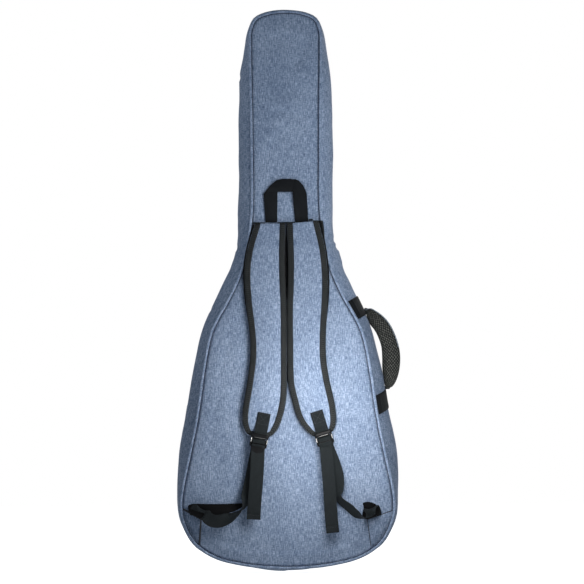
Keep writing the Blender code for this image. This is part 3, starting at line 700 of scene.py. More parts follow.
def spacer_mesh():
    """Knitted air mesh: pale ridges round dark holes, on the slant."""
    material, tree, shader = new_material(
        "spacer_mesh", sheen=0.05, sheen_roughness=0.4, specular=0.20)
    source = cloth_source(tree)
    spread = node(tree, "ShaderNodeMapping", {"Vector": source, "Scale": (262.0, 245.0, 1.0),
                                              "Rotation": (0.0, 0.0, math.pi / 4)})
    cells = node(tree, "ShaderNodeTexVoronoi",
                 {"Vector": spread.outputs["Vector"], "Scale": 1.0, "Randomness": 0.18},
                 voronoi_dimensions="2D", feature="F1")
    holes = cells.outputs["Distance"]
    fibres = streaks(tree, source, (1400.0, 1400.0, 1.0), detail=2.0)
    knit = ramp(tree, holes, [
        (0.24, (0.003, 0.003, 0.003)),
        (0.44, (0.014, 0.015, 0.014)),
        (0.62, (0.160, 0.167, 0.148)),
    ])
    fuzz = ramp(tree, fibres, [(0.3, (0.006, 0.006, 0.006)), (0.7, (0.07, 0.073, 0.066))])
    colour = node(tree, "ShaderNodeMix", {0: 0.18, 6: knit, 7: fuzz}, data_type="RGBA")
    dress(tree, shader, colour.outputs[2], weighted(tree, (fibres, 0.3), base=0.50), holes,
          0.0012, 1.0)
    return material


def lining_cloth():
    """Soft brushed lining with a quilted shade."""
    material, tree, shader = new_material(
        "lining_cloth", sheen=0.5, sheen_roughness=0.35, specular=0.15)
    source = cloth_source(tree)
    nap = streaks(tree, source, (700.0, 260.0, 1.0), detail=4.0)
    cloud = streaks(tree, source, (16.0, 11.0, 1.0))
    colour = ramp(tree, weighted(tree, (nap, 0.6), (cloud, 0.4)),
                  [(0.3, (0.030, 0.031, 0.036)), (0.7, (0.080, 0.082, 0.092))])
    dress(tree, shader, colour, weighted(tree, (nap, 0.2), base=0.75), nap, 0.0006)
    return material


def hard_material(name, low, high, roughness, metallic, scale, depth, specular=0.5):
    """Metal or plastic with fine casting grain, handling marks and uneven gloss."""
    material, tree, shader = new_material(name, metallic=metallic, specular=specular)
    source = solid_source(tree)
    grain = streaks(tree, source, (scale, scale, scale * 3), detail=4.0)
    marks = streaks(tree, source, (scale / 9, scale / 9, scale / 9), detail=5.0)
    dress(tree, shader, ramp(tree, marks, [(0.3, low), (0.7, high)]),
          weighted(tree, (grain, roughness), base=roughness * 0.6), grain, depth, 0.5)
    return material


def thread_material(name, low, high):
    material, tree, shader = new_material(name, sheen=0.2, sheen_roughness=0.4, specular=0.3)
    twist = streaks(tree, solid_source(tree), (2600.0, 2600.0, 2600.0), detail=2.0)
    dress(tree, shader, ramp(tree, twist, [(0.3, low), (0.7, high)]),
          weighted(tree, (twist, 0.3), base=0.45), twist, 0.0002, 0.7)
    return material


FABRIC = heather_fabric()
WEB = webbing_material("dark_webbing", (0.005, 0.007, 0.008), (0.024, 0.030, 0.033), 0.0016)
BINDING = webbing_material("strap_binding", (0.003, 0.004, 0.004), (0.048, 0.052, 0.053), 0.0040)
BLACK_WEB = webbing_material("black_webbing", (0.003, 0.004, 0.005), (0.012, 0.014, 0.017), 0.0016)
# Near-black copy of the webbing as painted shade, for the binding's under layer and the dark plies
# by the lower webbing
PAINTED_SHADE_WEB = webbing_material(
    "painted_shade_webbing", (0.0006, 0.0007, 0.0009), (0.002, 0.002, 0.003), 0.0016)
TAPE = webbing_material("zip_tape", (0.008, 0.009, 0.011), (0.028, 0.030, 0.034), 0.0009)
MESH = spacer_mesh()
LINED = lining_cloth()
STEEL = hard_material("polished_steel", (0.30, 0.30, 0.30), (0.46, 0.46, 0.45), 0.20, 1.0,
                      900.0, 0.00004)
SLIDER = hard_material("slider_metal", (0.18, 0.18, 0.19), (0.34, 0.34, 0.35), 0.30, 1.0,
                       700.0, 0.00006)
TEETH = hard_material("nylon_teeth", (0.010, 0.010, 0.011), (0.026, 0.026, 0.028), 0.42, 0.0,
                      1200.0, 0.00005)
LIP = hard_material("lock_lip", (0.003, 0.003, 0.004), (0.007, 0.008, 0.009), 0.30, 0.0,
                    900.0, 0.00005, specular=0.12)
DARK_THREAD = thread_material("dark_thread", (0.008, 0.009, 0.012), (0.040, 0.044, 0.055))
NAVY_THREAD = thread_material("navy_thread", (0.012, 0.018, 0.038), (0.045, 0.062, 0.110))
# Pale cord for the painted highlight along the grip's upper outer edge
PAINTED_HIGHLIGHT_CORD = thread_material("painted_highlight_cord", (0.160, 0.200, 0.250), (0.300, 0.350, 0.410))

# The CAD material that each of these stands for; the threads and the lock's lip have none
SLOTS = {
    FABRIC: "heather_fabric", WEB: "dark_webbing", BINDING: "dark_webbing",
    BLACK_WEB: "dark_webbing", PAINTED_SHADE_WEB: "dark_webbing", TAPE: "zip_tape",
    MESH: "spacer_mesh", LINED: "lining_cloth", STEEL: "polished_steel", TEETH: "nylon_teeth",
}


def finish_piece(shape, name, material, body, nodes=(), slot="own"):
    """Makes the piece, seats it on its body, and hides the CAD nodes it stands for."""
    piece = shape.make(name, material, SLOTS.get(material) if slot == "own" else slot)
    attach(piece, body)
    if nodes:
        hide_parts(*nodes)
    return piece


def ringed_piece(rows, name, material, body, nodes=(), loop=False, slot="own"):
    """A piece through closed rings of points, capped unless it closes on itself."""
    shape = Shape()
    shape.grid(rows, ring=True, loop=loop, capped=not loop)
    return finish_piece(shape, name, material, body, nodes, slot)


# ---------------------------------------------------------------- panels

PANEL_COLUMNS = [math.sin(math.pi / 2 * (k / 26 - 1)) * 0.35 + (k / 26 - 1) * 0.65
                 for k in range(53)]

PANEL_FOLDS = [
    # place (x, z), direction, half length, half width, depth
    ((0.0190, 0.9900), (0.62, 0.78), 0.034, 0.0095, 0.0022),
    ((0.0080, 1.0300), (0.95, -0.20), 0.036, 0.0110, 0.0015),
    ((-0.0160, 0.8950), (0.98, -0.15), 0.045, 0.0110, 0.0015),
    ((-0.0570, 0.9150), (0.00, 1.00), 0.050, 0.0045, 0.0022),
    ((-0.0300, 0.8200), (0.55, 0.83), 0.050, 0.0110, 0.0014),
    ((-0.1250, 0.2400), (0.20, 0.98), 0.080, 0.0100, 0.0018),
    ((-0.1000, 0.3600), (-0.25, 0.97), 0.080, 0.0110, 0.0014),
    ((0.1180, 0.0560), (0.62, -0.78), 0.030, 0.0080, 0.0022),
    ((0.0300, 0.1150), (0.85, 0.52), 0.060, 0.0140, 0.0016),
    ((0.1300, 0.3300), (0.22, 0.97), 0.080, 0.0110, 0.0012),
]


def panel_plan():
    """Rows of (x, z) from the bottom to the top of the panels' outline."""
    rows = []
    for station in HALF:
        reach = max(station.x - station.nx * PANEL_INSET, 0.0006)
        height = station.z - station.nz * PANEL_INSET
        rows.append([(reach * share, height) for share in PANEL_COLUMNS])
    return rows


def fold_depth(x, z):
    """Depth of the back panel's folds at a place, each running along its direction."""
    total = 0.0
    for (cx, cz), (dx, dz), length, width, depth in PANEL_FOLDS:
        along = (x - cx) * dx + (z - cz) * dz
        aside = (z - cz) * dx - (x - cx) * dz
        total += depth * math.exp(-(along / length) ** 2 - (aside / width) ** 2)
    return total


def back_relief(x, z, rim):
    """How far the back panel's face lies behind BACK_Y: sunk along the seams, full inside."""
    sunk = 0.0042 * (1 - smooth_step(rim / 0.050)) - 0.0016 * smooth_step(rim / 0.11)
    roll = 0.0022 * (1 - smooth_step(rim / 0.0060))
    body = smooth_step((0.62 - z) / 0.10)
    folds = ripple((x, 0, z * 0.55), 0.070, 3.1) * 0.0011 + ripple((x, 0, z), 0.030, 7.7) * 0.0004
    folds += fold_depth(x, z)
    return sunk * (0.7 + 0.3 * body) + roll + folds * smooth_step(rim / 0.020)


def front_face(x, z, rim):
    """The y of the front panel's face: sunk along the seams, fullest above the pocket."""
    sunk = 0.0035 * (1 - smooth_step(rim / 0.040)) + 0.002 * (1 - smooth_step(rim / 0.006))
    full = 0.0040 * smooth_step(rim / 0.09)
    folds = ripple((x, 0, z), 0.075, 11.0) * 0.0012 * smooth_step(rim / 0.02)
    return BACK_Y + depth_at(z) - sunk + full * smooth_step((z - 0.43) / 0.05) + folds


def panel_faces(outer, inner):
    """The rows of a panel's two faces, and how firmly each point of its outer face is held."""
    plan = panel_plan()
    rims = iter(rim_distance([place for row in plan for place in row]))
    face, back, held = [], [], []
    for row in plan:
        places = [(x, z, next(rims)) for x, z in row]
        face.append([Vector((x, outer(x, z, rim), z)) for x, z, rim in places])
        back.append([Vector((x, inner(x, z, rim), z)) for x, z, rim in places])
        held += [max(0.0, 1.0 - max(0.0, rim - 0.012) / 0.02) for _, _, rim in places]
    return face, back, held


def sewn_panel(face, back, side, body):
    shape = Shape()
    shape.flat_rings(paired(face, back))
    finish_piece(shape, f"{side}_panel", FABRIC, body, [f"{side}_cover", f"{side}_foam"])


PANEL_PUFF = 1.6
PANEL_PUFF_CAP = 0.0030


def back_panel():
    face, back, held = panel_faces(
        lambda x, z, rim: BACK_Y + back_relief(x, z, rim),
        lambda x, z, rim: BACK_Y + PANEL_STACK - 0.0004)
    face = simulated(face, held, -PANEL_PUFF, PANEL_PUFF_CAP)
    for row in face:
        for point in row:
            point.y = max(point.y, BACK_Y - 0.0020)
    sewn_panel(face, back, "back", "tub")


def front_panel():
    face, back, held = panel_faces(
        front_face, lambda x, z, rim: BACK_Y + depth_at(z) - PANEL_STACK + 0.0004)
    sewn_panel(simulated(face, held, PANEL_PUFF, PANEL_PUFF_CAP), back, "front", "lid")


def quilt(x, z):
    lines = math.sin((x + z) * 2 * math.pi / 0.075) * math.sin((x - z) * 2 * math.pi / 0.075)
    return abs(lines) ** 0.35 * 0.0012


def panel_linings():
    for side, way, body in (("back", 1, "tub"), ("front", -1, "lid")):
        def level(x, z, rim, way=way):
            near = BACK_Y if way > 0 else BACK_Y + depth_at(z)
            return near + way * PANEL_STACK

        def soft(x, z, rim, way=way, level=level):
            return level(x, z, rim) + way * (LINING + quilt(x, z) * smooth_step(rim / 0.02))

        face, back, _ = panel_faces(soft, level)
        ringed_piece(paired(face, back), f"{side}_panel_lining", LINED, body, [f"{side}_lining"])


# ---------------------------------------------------------------- gussets

CREASES = [
    # place on the gusset (x, z), direction, length, depth
    ((-0.0850, 0.9600), (0.9, -0.42), 0.030, 0.0028),
    ((0.0940, 0.6250), (0.75, 0.66), 0.045, 0.0040),
    ((0.0900, 0.6420), (0.85, 0.52), 0.035, 0.0032),
    ((0.0980, 0.6020), (0.60, 0.80), 0.050, 0.0030),
    ((-0.0960, 0.6300), (-0.70, 0.71), 0.050, 0.0034),
    ((-0.1500, 0.5150), (-0.60, 0.80), 0.060, 0.0014),
]
CREASE_WIDTH = 0.0035


def crease_at(place):
    """Depth of the creases at a place on the gusset."""
    total = 0.0
    for (x, z), direction, length, depth in CREASES:
        way = Vector(direction).normalized()
        offset = Vector((place.x - x, place.z - z))
        aside = offset.dot(Vector((-way.y, way.x)))
        total += depth * bell(offset.dot(way) / length) * bell(aside / CREASE_WIDTH)
    return total


def gusset_relief(station, v):
    """How far the gusset's cloth stands above its smooth section."""
    place = skin_point(station, v, 0.0)
    soft = ripple((place.x, place.y * 1.4, place.z), 0.055, 1.3)
    fine = ripple((place.x, place.y * 0.8, place.z * 1.2), 0.020, 5.9)
    slack = 0.0010 + 0.0012 * bell((station.z - 0.62) / 0.07)
    return soft * slack + fine * slack * 0.35 - crease_at(place)


def gusset_piece(name, body, ends, inner_ends, steps, nodes):
    """Closed sections round the whole outline. Each end is (v, metres past it)."""
    rows = []
    for station in RING:
        start, stop = (past(station, end) for end in ends)
        outer = []
        for v in spread_out(start, stop, steps):
            edge = min(v - start, stop - v) * station.depth / 2
            tuck = 0.0012 * (1 - smooth_step(edge / 0.0040))
            relief = gusset_relief(station, v) * smooth_step(edge / 0.012)
            outer.append(skin_point(station, v, tuck - relief))
        rows.append(outer + section(station, inner_ends[1], inner_ends[0], 0.0100, 6))
    ringed_piece(rows, name, FABRIC, body, nodes, loop=True)


def gusset_lining(name, low, high, nodes, body):
    rows = []
    for station in RING:
        inner = []
        for k, v in enumerate(spread_out(past(station, high), past(station, low), 8)):
            rumple = 0.0004 * ripple((station.x, k, station.z), 0.03, 2.0)
            inner.append(skin_point(station, v, 0.0112 - rumple))
        rows.append(section(station, low, high, 0.0102, 8) + inner)
    ringed_piece(rows, name, LINED, body, nodes, loop=True)


def gussets():
    reach = TAPE_WIDTH + TEETH_WIDTH + 3 * GAP - 0.0016
    jobs = (("tub", ((-1, 0.0026), (ZIP_V, -reach)), ((-1, 0.0120), (ZIP_V, -0.0030)), 22),
            ("lid", ((ZIP_V, reach), (1, -0.0026)), ((ZIP_V, 0.0030), (1, -0.0120)), 10))
    for body, ends, inner_ends, steps in jobs:
        nodes = [f"{body}_gusset_{part}" for part in ("cover", "foam_lower", "foam_upper")]
        gusset_piece(f"{body}_gusset", body, ends, inner_ends, steps, nodes)
    gusset_lining("tub_gusset_inside", (-1, 0.0125), (ZIP_V, -0.0016), ["tub_gusset_lining"], "tub")
    gusset_lining("lid_gusset_inside", (ZIP_V, 0.0016), (1, -0.0125), ["lid_gusset_lining"], "lid")


def piping():
    """A cord wrapped in the bag's cloth along each seam, with a dark navy thread beside it in the
    groove: stitching, and painted shade of the groove.
    """
    for name, side, body in (("back_piping", -1, "tub"), ("front_piping", 1, "lid")):
        path, normals, inner_path = [], [], []
        for s in RING:
            y = BACK_Y + (s.depth - 0.001 if side > 0 else 0.001)
            wobble = ripple((s.x, s.z, 0), 0.05, 9.0) * 0.0003
            path.append(Vector((s.x + s.nx * wobble, y, s.z + s.nz * wobble)))
            normals.append(Vector((s.nx, 0, s.nz)))
            line = inset_point(s, 0.0034)
            inner_path.append(Vector((line.x, y + side * 0.0008, line.y)))
        shape = Shape()
        cord_tube(shape, path, normals, PIPING_RADIUS, sides=12, loop=True)
        finish_piece(shape, f"{name}_cord", FABRIC, body, [name])
        # The seam's dark line: stitching thread, and painted shade of the groove between piping and
        # panel
        shape = Shape()
        cord_tube(shape, inner_path, normals, 0.0007, sides=6, loop=True)
        finish_piece(shape, f"{name}_seam", NAVY_THREAD, body)


# ---------------------------------------------------------------- zippers

def zip_run():
    """The zipper's stations in order along the outline, starting at the hinge's lower end."""
    low, high = HINGE_HEIGHTS
    start = next(i for i, s in enumerate(RING) if s.x < 0 and s.z < low)
    turned = RING[start:] + RING[:start]
    return [s for s in turned if not (s.x < 0 and low < s.z < high)]


def zipper():
    run = zip_run()
    centre = [skin_point(s, ZIP_V, -0.0002) for s in run]
    for body, side in (("tub", -1), ("lid", 1)):
        inner = (ZIP_V, side * (TEETH_WIDTH * 0.45))
        outer = (ZIP_V, side * (TEETH_WIDTH + 2 * GAP + TAPE_WIDTH))
        rows = [section(s, inner, outer, 0.0004, 4) + section(s, outer, inner, 0.0011, 4)
                for s in run]
        ringed_piece(rows, f"{body}_zip_cloth", TAPE, body, [f"{body}_zip_tape"])
        shape = Shape()
        coil_teeth(shape, run, centre, side)
        finish_piece(shape, f"{body}_coil", TEETH, body, [f"{body}_zip_chain"])


def tooth_start(side, k):
    """Where a tooth stands along its chain; the two sides' teeth take turns."""
    return (k + (0.25 if side > 0 else 0.75)) * TOOTH_PITCH


def coil_teeth(shape, run, centre, side):
    """One small rounded tooth after another along the chain."""
    lengths = running_length(centre)
    j = 0
    for k in range(int(lengths[-1] / TOOTH_PITCH)):
        j, share = segment_at(lengths, tooth_start(side, k), j)
        s = between(run[j], run[j + 1], min(1.0, max(0.0, share)))
        root = skin_point(s, past(s, (ZIP_V, side * TEETH_WIDTH)), -0.0003)
        tip = skin_point(s, past(s, (ZIP_V, -side * 0.0004)), -0.0003)
        out = (skin_point(s, ZIP_V, -0.01) - skin_point(s, ZIP_V, 0)).normalized()
        tooth(shape, root, tip, out)


def tooth(shape, root, tip, out):
    across = (tip - root).normalized()
    along = across.cross(out).normalized() * (TOOTH_PITCH * 0.27)
    rows = []
    for share, girth in ((0.0, 0.75), (0.55, 0.9), (0.9, 1.25), (1.0, 0.8)):
        centre = root.lerp(tip, share)
        rows.append([centre + along * math.cos(a) * girth + out * (0.0002 + math.sin(a) * 0.0006)
                     for a in (0.0, 1.05, 2.09, 3.14, 4.19, 5.24)])
    shape.grid(rows, ring=True, capped=True)


def hinge_gusset():
    """The strip of cloth that the lid turns on, between tub and lid."""
    low, high = HINGE_HEIGHTS
    reach = TAPE_WIDTH + TEETH_WIDTH + 2 * GAP - 0.0010
    ends = (ZIP_V, -reach), (ZIP_V, reach)
    rows = []
    for height in spread_out(low, high, 24):
        s = station_at(height, -1)
        rows.append(section(s, *ends, 0.0001, 12) + section(s, *ends[::-1], 0.0013, 12))
    shape = Shape()
    shape.grid(rows, ring=True, capped=True)
    piece = shape.make("hinge_cloth", FABRIC, "heather_fabric")
    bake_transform(piece)
    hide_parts("hinge_gusset")


# ---------------------------------------------------------------- corner patches

def patch_outline(side, tip, top):
    """The patch's outline on the +X side, and its free corners: tip, foot and top."""
    foot = Vector((0.1715 if side < 0 else 0.1608, PATCH_FOOT))
    rim = [place for place in (inset_point(s, PANEL_INSET) for s in HALF)
           if foot.y < place.y < top and place.x > foot.x]
    tip = Vector(tip)
    end = Vector((inset_point(station_at(top), PANEL_INSET).x, top))
    line = [tip.lerp(foot, k / 6) for k in range(6)] + [foot] + rim
    line += [end.lerp(tip, k / 6) for k in range(6)]
    return [Vector((side * p.x, p.y)) for p in line], tip, foot, end


def patch_lift(x, z):
    """The y of the panel's face, which the patch follows."""
    rim = float(rim_distance([(x, z)])[0])
    return BACK_Y + back_relief(x, z, rim) - 0.0002


def corner_patches():
    for side_name, (side, tip, top) in PATCHES.items():
        outline, tip, foot, end = patch_outline(side, tip, top)
        shape = Shape()
        shape.prism(outline, patch_lift, 0.0016)
        finish_piece(shape, f"corner_patch_cloth_{side_name}", FABRIC, "tub",
                     [f"corner_patch_{side_name}"])
        seam = [end.lerp(tip, k / 10) for k in range(11)]
        seam += [tip.lerp(foot, k / 10) for k in range(1, 11)]
        path = [Vector((side * p.x, patch_lift(side * p.x, p.y) - 0.0009, p.y)) for p in seam]
        normals = [Vector((0.6, -0.6, 0.5))] * len(path)
        shape = Shape()
        # Seam cord: stitching; the thicker left cord also stands for the seam's shade, a painted
        # shade
        cord_tube(shape, path, normals, 0.0019 if side < 0 else 0.0010, sides=6)
        finish_piece(shape, f"corner_patch_seam_{side_name}", DARK_THREAD, "tub")


# ---------------------------------------------------------------- shoulder straps

OUTWARD = Vector((0, -1, 0))
PAD_COLUMNS = 17


def strap_thickness(height, rim):
    """Padding under the strap's face: thin where it is sewn in and at its bound edges."""
    sewn = 0.38 + 0.62 * smooth_step((STRAP_TOP - height) / 0.055)
    foot = 0.80 + 0.20 * smooth_step((height - 0.262) / 0.03)
    full = STRAP_EDGE_THICKNESS + (STRAP_THICKNESS - STRAP_EDGE_THICKNESS) * smooth_step(rim / 0.022)
    return full * sewn * foot


def strap_lines(side, count=110):
    return [resampled(plane_line(edge, 12), count) for edge in STRAP_EDGES[side]]


def strap_edge(side):
    """The bound edge: down the inner side, round the foot, and up the outer side."""
    inner, outer = strap_lines(side, 90)
    foot = [inner[-1].lerp(outer[-1], k / 6) for k in range(1, 6)]
    line = inner + foot + list(reversed(outer))
    for _ in range(3):
        middle = [a.lerp(b, 0.5).lerp(p, 0.5) for a, p, b in zip(line, line[1:], line[2:])]
        line = [line[0]] + middle + [line[-1]]
    return line


def edge_normals(line, side):
    turn = -1 if side == "left" else 1
    ways = [heading(line, i) for i in range(len(line))]
    normals = [Vector((-way.y, way.x)) * turn for way in ways]
    normals[0].y = normals[-1].y = 0.0
    return normals


def under_shade_lip(side, point, outer):
    """How far the binding's under layer shows past the strap's edge, as a dark lip of painted shade:
    the strap edge's shade outside, the slit's shade between the straps.
    """
    if not outer:
        return max(0.0004, abs(point.x - 0.0004) - 0.0002) if point.y > 0.37 else 0.0004
    lip = 0.0004 + 0.0020 * smooth_step((point.y - 0.48) / 0.06)
    if side == "right":
        lip += 0.0050 * smooth_step((point.y - 0.640) / 0.035)
    return lip


def sewn_lean(height):
    """How far the sewn end leans out, so that it clears the seam when the strap is lifted."""
    return 0.35 * max(0.0, height - 0.6785)


def tape_rise(x):
    """How much higher the cross seam runs towards the right."""
    return 0.0055 * smooth_step((x - 0.012) / 0.045)


def under_tape(side, place):
    """The place, kept below the cross seam and the hang loop's leg, as far as the binding."""
    if side == "right":
        seam = min(0.6800, 0.6769 + tape_rise(place.x))
        place.y = min(place.y, seam + (0.6825 - seam) * smooth_step((place.x - 0.0515) / 0.006))
    return place


def strap_pad(side):
    """The padded strap, and the air mesh on its underside."""
    inner, outer = strap_lines(side)
    toe = inner[-1].lerp(outer[-1], 0.5)
    face_rows, under_rows = [], []
    for a, b in zip(inner, outer):
        face_row, under_row = [], []
        width = (b - a).length
        foot = (a.lerp(b, 0.5) - toe).length
        for share in spread_out(0.012, 0.988, PAD_COLUMNS - 1):
            place = under_tape(side, a.lerp(b, share))
            level = STRAP_Y - sewn_lean(place.y)
            rim = min(share * width, (1 - share) * width, foot + 0.002)
            rise = strap_thickness(place.y, rim)
            swell = ripple((place.x, place.y, 4.0), 0.045, 2.5) * 0.0005 * smooth_step(rim / 0.015)
            face_row.append(Vector((place.x, level - rise + 0.0009 - swell, place.y)))
            under_row.append(Vector((place.x, level - 0.0018, place.y)))
        face_rows.append(face_row)
        under_rows.append(under_row)
    body = f"strap_{side}"
    ringed_piece(paired(face_rows, under_rows), f"strap_pad_{side}", FABRIC, body,
                 [f"strap_cover_{side}", f"strap_foam_{side}"])
    low_rows = [[p + Vector((0, 0.0012, 0)) for p in row] for row in under_rows]
    ringed_piece(paired(under_rows, low_rows), f"strap_airmesh_{side}", MESH, body,
                 [f"strap_mesh_{side}"])


def binding_section(height, lip):
    """The binding folded round the strap's edge: (distance in, distance up) round its section."""
    full = strap_thickness(height, 0.0)
    outer = [(BINDING_WIDTH, 0.0), (0.0040, 0.0), (-lip, 0.0007), (0.0, 0.0030),
             (0.0, full - 0.0026), (0.0012, full - 0.0004)]
    outer += [(reach, strap_thickness(height, reach) + rise)
              for reach, rise in ((0.0032, 0.0004), (0.0075, 0.0005), (BINDING_WIDTH, 0.0002))]
    outer = [Vector(corner) for corner in outer]
    inner = []
    for i, corner in enumerate(outer):
        along = outer[min(i + 1, len(outer) - 1)] - outer[max(i - 1, 0)]
        inner.append(corner + Vector((along.y, -along.x)).normalized() * BINDING_THICKNESS)
    return outer + list(reversed(inner))


# Columns of the binding's section, round its under layer, that take the painted shade
SHADE_PAINTED_COLUMNS = (1, 2, 3)


def strap_binding(side):
    """The binding and its stitches; its under layer is painted near black as the shade under the
    strap's edge.
    """
    line = strap_edge(side)
    rows, seam = [], []
    reach = BINDING_WIDTH - 0.0022
    for i, (point, normal) in enumerate(zip(line, edge_normals(line, side))):
        ring = binding_section(point.y, under_shade_lip(side, point, i > len(line) / 2))
        level = STRAP_Y - sewn_lean(point.y)
        rows.append([Vector((point.x + normal.x * d, level - h, point.y + normal.y * d))
                     for d, h in ring])
        height = strap_thickness(point.y, reach) + 0.0004
        seam.append(Vector((point.x + normal.x * reach, level - height, point.y + normal.y * reach)))
    piece = ringed_piece(rows, f"strap_edge_{side}", BINDING, f"strap_{side}",
                         [f"strap_binding_{side}"])
    # Painted shade: the under layer's columns take the near-black webbing
    piece.data.materials.append(PAINTED_SHADE_WEB)
    for polygon in piece.data.polygons:
        if polygon.index % len(rows[0]) in SHADE_PAINTED_COLUMNS:
            polygon.material_index = 1
    shape = Shape()
    stitches(shape, seam, [OUTWARD] * len(seam))
    finish_piece(shape, f"strap_stitches_{side}", DARK_THREAD, f"strap_{side}")


# ---------------------------------------------------------------- webbing on the straps

LOCK_BAR = 0.0019            # the radius of the lock's frame
LOCK_CORNER = 0.0030


def lock_frame(side):
    (across, height), lean = LOCK_PLACES[side]
    return Matrix.Translation((across, LOCK_Y, height)) @ Matrix.Rotation(math.radians(lean), 4, "Y")


def arc(centre_up, radius, start, stop, steps=8):
    """Points (y, up) round a bar, angles in degrees from the outward side."""
    angles = [math.radians(angle) for angle in spread_out(start, stop, steps)]
    return [(-radius * math.cos(a), centre_up + radius * math.sin(a)) for a in angles]


def round_bar(shape, place, centre, radii, half):
    """A bar across the lock, with an oval section and rounded ends; centre is (y, up)."""
    rows = []
    for k in range(13):
        share = k / 6 - 1
        end = math.sqrt(max(0.02, 1 - max(0.0, abs(share) - 0.90) ** 2 / 0.0102))
        ring = []
        for i in range(16):
            angle = 2 * math.pi * i / 16
            ring.append(place @ Vector((half * share, centre[0] + radii[0] * end * math.cos(angle),
                                        centre[1] + radii[1] * end * math.sin(angle))))
        rows.append(ring)
    shape.grid(rows, ring=True, capped=True)


def straight_bar(shape, line, radius, sides):
    cord_tube(shape, line, [OUTWARD] * len(line), radius, sides=sides)


def lock_loop(half_w, half_h):
    """The rounded rectangle that the lock's frame follows."""
    loop = []
    for sx, sz, start in ((1, 1, 0), (-1, 1, 90), (-1, -1, 180), (1, -1, 270)):
        for angle in spread_out(start, start + 90, 5):
            angle = math.radians(angle)
            loop.append(Vector((sx * (half_w - LOCK_CORNER) + LOCK_CORNER * math.cos(angle), 0,
                                sz * (half_h - LOCK_CORNER) + LOCK_CORNER * math.sin(angle))))
    return loop


def ladder_lock(side):
    """A dark cast frame with a broad front bar, wrapped rungs and a pull lip; short bright steel
    bars on its sides and a thin steel line under its front bar are painted highlights.
    """
    place = lock_frame(side)
    body = f"strap_{side}"
    half_w, half_h = LOCK_SIZE[0] / 2 - LOCK_BAR, LOCK_SIZE[2] / 2 - LOCK_BAR
    shape = Shape()
    loop = [place @ p for p in lock_loop(half_w, half_h)]
    cord_tube(shape, loop, [OUTWARD] * len(loop), LOCK_BAR, sides=12, loop=True)
    straight_bar(shape, [place @ Vector((x, 0, 0.0121)) for x in (-half_w, 0, half_w)], 0.0017, 10)
    round_bar(shape, place, (-0.0056, 0.0100), (0.0018, 0.0041), 0.0180)
    round_bar(shape, place, (0.0022, -0.0035), (0.0006, 0.0100), 0.0142)
    finish_piece(shape, f"lock_frame_{side}", LIP, body, [f"ladder_lock_{side}"],
                 slot="polished_steel")
    # Painted highlights: short bright steel bars over the frame's sides and a thin steel line, the
    # glint, under the front bar
    shape = Shape()
    for way in (-1, 1):
        x = way * (half_w + 0.0004)
        straight_bar(shape, [place @ Vector((x, -0.0022, 0.0050 - 0.0016 * k)) for k in range(7)],
                     0.0012, 12)
    glint = [place @ Vector((x, -0.0062, 0.0058)) for x in spread_out(-0.0110, 0.0110, 8)]
    straight_bar(shape, glint, 0.0004, 8)
    finish_piece(shape, f"lock_painted_highlights_{side}", STEEL, body)
    shape = Shape()
    round_bar(shape, place, (-0.0022, -0.0002), (0.0022, 0.0023), 0.0122)
    round_bar(shape, place, (-0.0036, -0.0098), (0.0026, 0.0025), 0.0136)
    finish_piece(shape, f"lock_wraps_{side}", WEB, body)
    lock_lip(side, place)


def lock_lip(side, place):
    """The rounded lip that loosens the left lock; on the right the webbing covers it."""
    rounded = side == "left"
    reach = 0.0135 if rounded else 0.0050
    rows = []
    for share in spread_out(0.0, 1.0, 8):
        half = 0.0142 * math.sqrt(max(0.0, 1 - (share * 0.985) ** 2.2)) if rounded else 0.0140
        y = -0.0056 + 0.0022 * share * share
        row = [place @ Vector((half * x, y - 0.0008 * (1 - x ** 2), -0.0112 - reach * share))
               for x in spread_out(-1.0, 1.0, 10)]
        rows.append(row + [p + Vector((0, 0.0014, 0)) for p in reversed(row)])
    ringed_piece(rows, f"lock_lip_{side}", LIP if rounded else WEB, f"strap_{side}", slot=None)


def strap_tab(side):
    """The short webbing that holds the lock, with its box of stitches."""
    place = lock_frame(side)
    across = place.to_3x3() @ Vector((WEBBING, 0, 0))
    on_strap = STRAP_Y - STRAP_THICKNESS - LOCK_Y - WEBBING_THICKNESS / 2 - 0.0003
    tab = [(on_strap + 0.0004, 0.0545), (on_strap, 0.0480), (on_strap, 0.0300),
           (on_strap - 0.0003, 0.0230), (-WEB_LAYER - 0.0002, 0.0150)]
    tab += arc(0.0121, WEB_LAYER, 0, -170)[1:]
    tab += [(WEB_LAYER + 0.0012, 0.0060), (WEB_LAYER + 0.0018, 0.0010)]
    line = smooth_line([(y, up, 0) for y, up in tab], 3)
    shape = Shape()
    strip(shape, [place @ Vector((0, p.x, p.y)) for p in line], [across] * len(line))
    finish_piece(shape, f"strap_tab_web_{side}", WEB, f"strap_{side}", [f"strap_tab_{side}"])
    shape = Shape()
    corners = [place @ Vector((x, on_strap - WEBBING_THICKNESS / 2, up))
               for x, up in ((-0.0095, 0.0520), (0.0095, 0.0520), (0.0095, 0.0320),
                             (-0.0095, 0.0320))]
    for a, b in ((0, 1), (1, 2), (2, 3), (3, 0), (0, 2), (1, 3)):
        path = [corners[a].lerp(corners[b], k / 8) for k in range(9)]
        stitches(shape, path, [OUTWARD] * 9, pitch=0.0030, length=0.0022)
    finish_piece(shape, f"strap_tab_stitches_{side}", DARK_THREAD, f"strap_{side}")


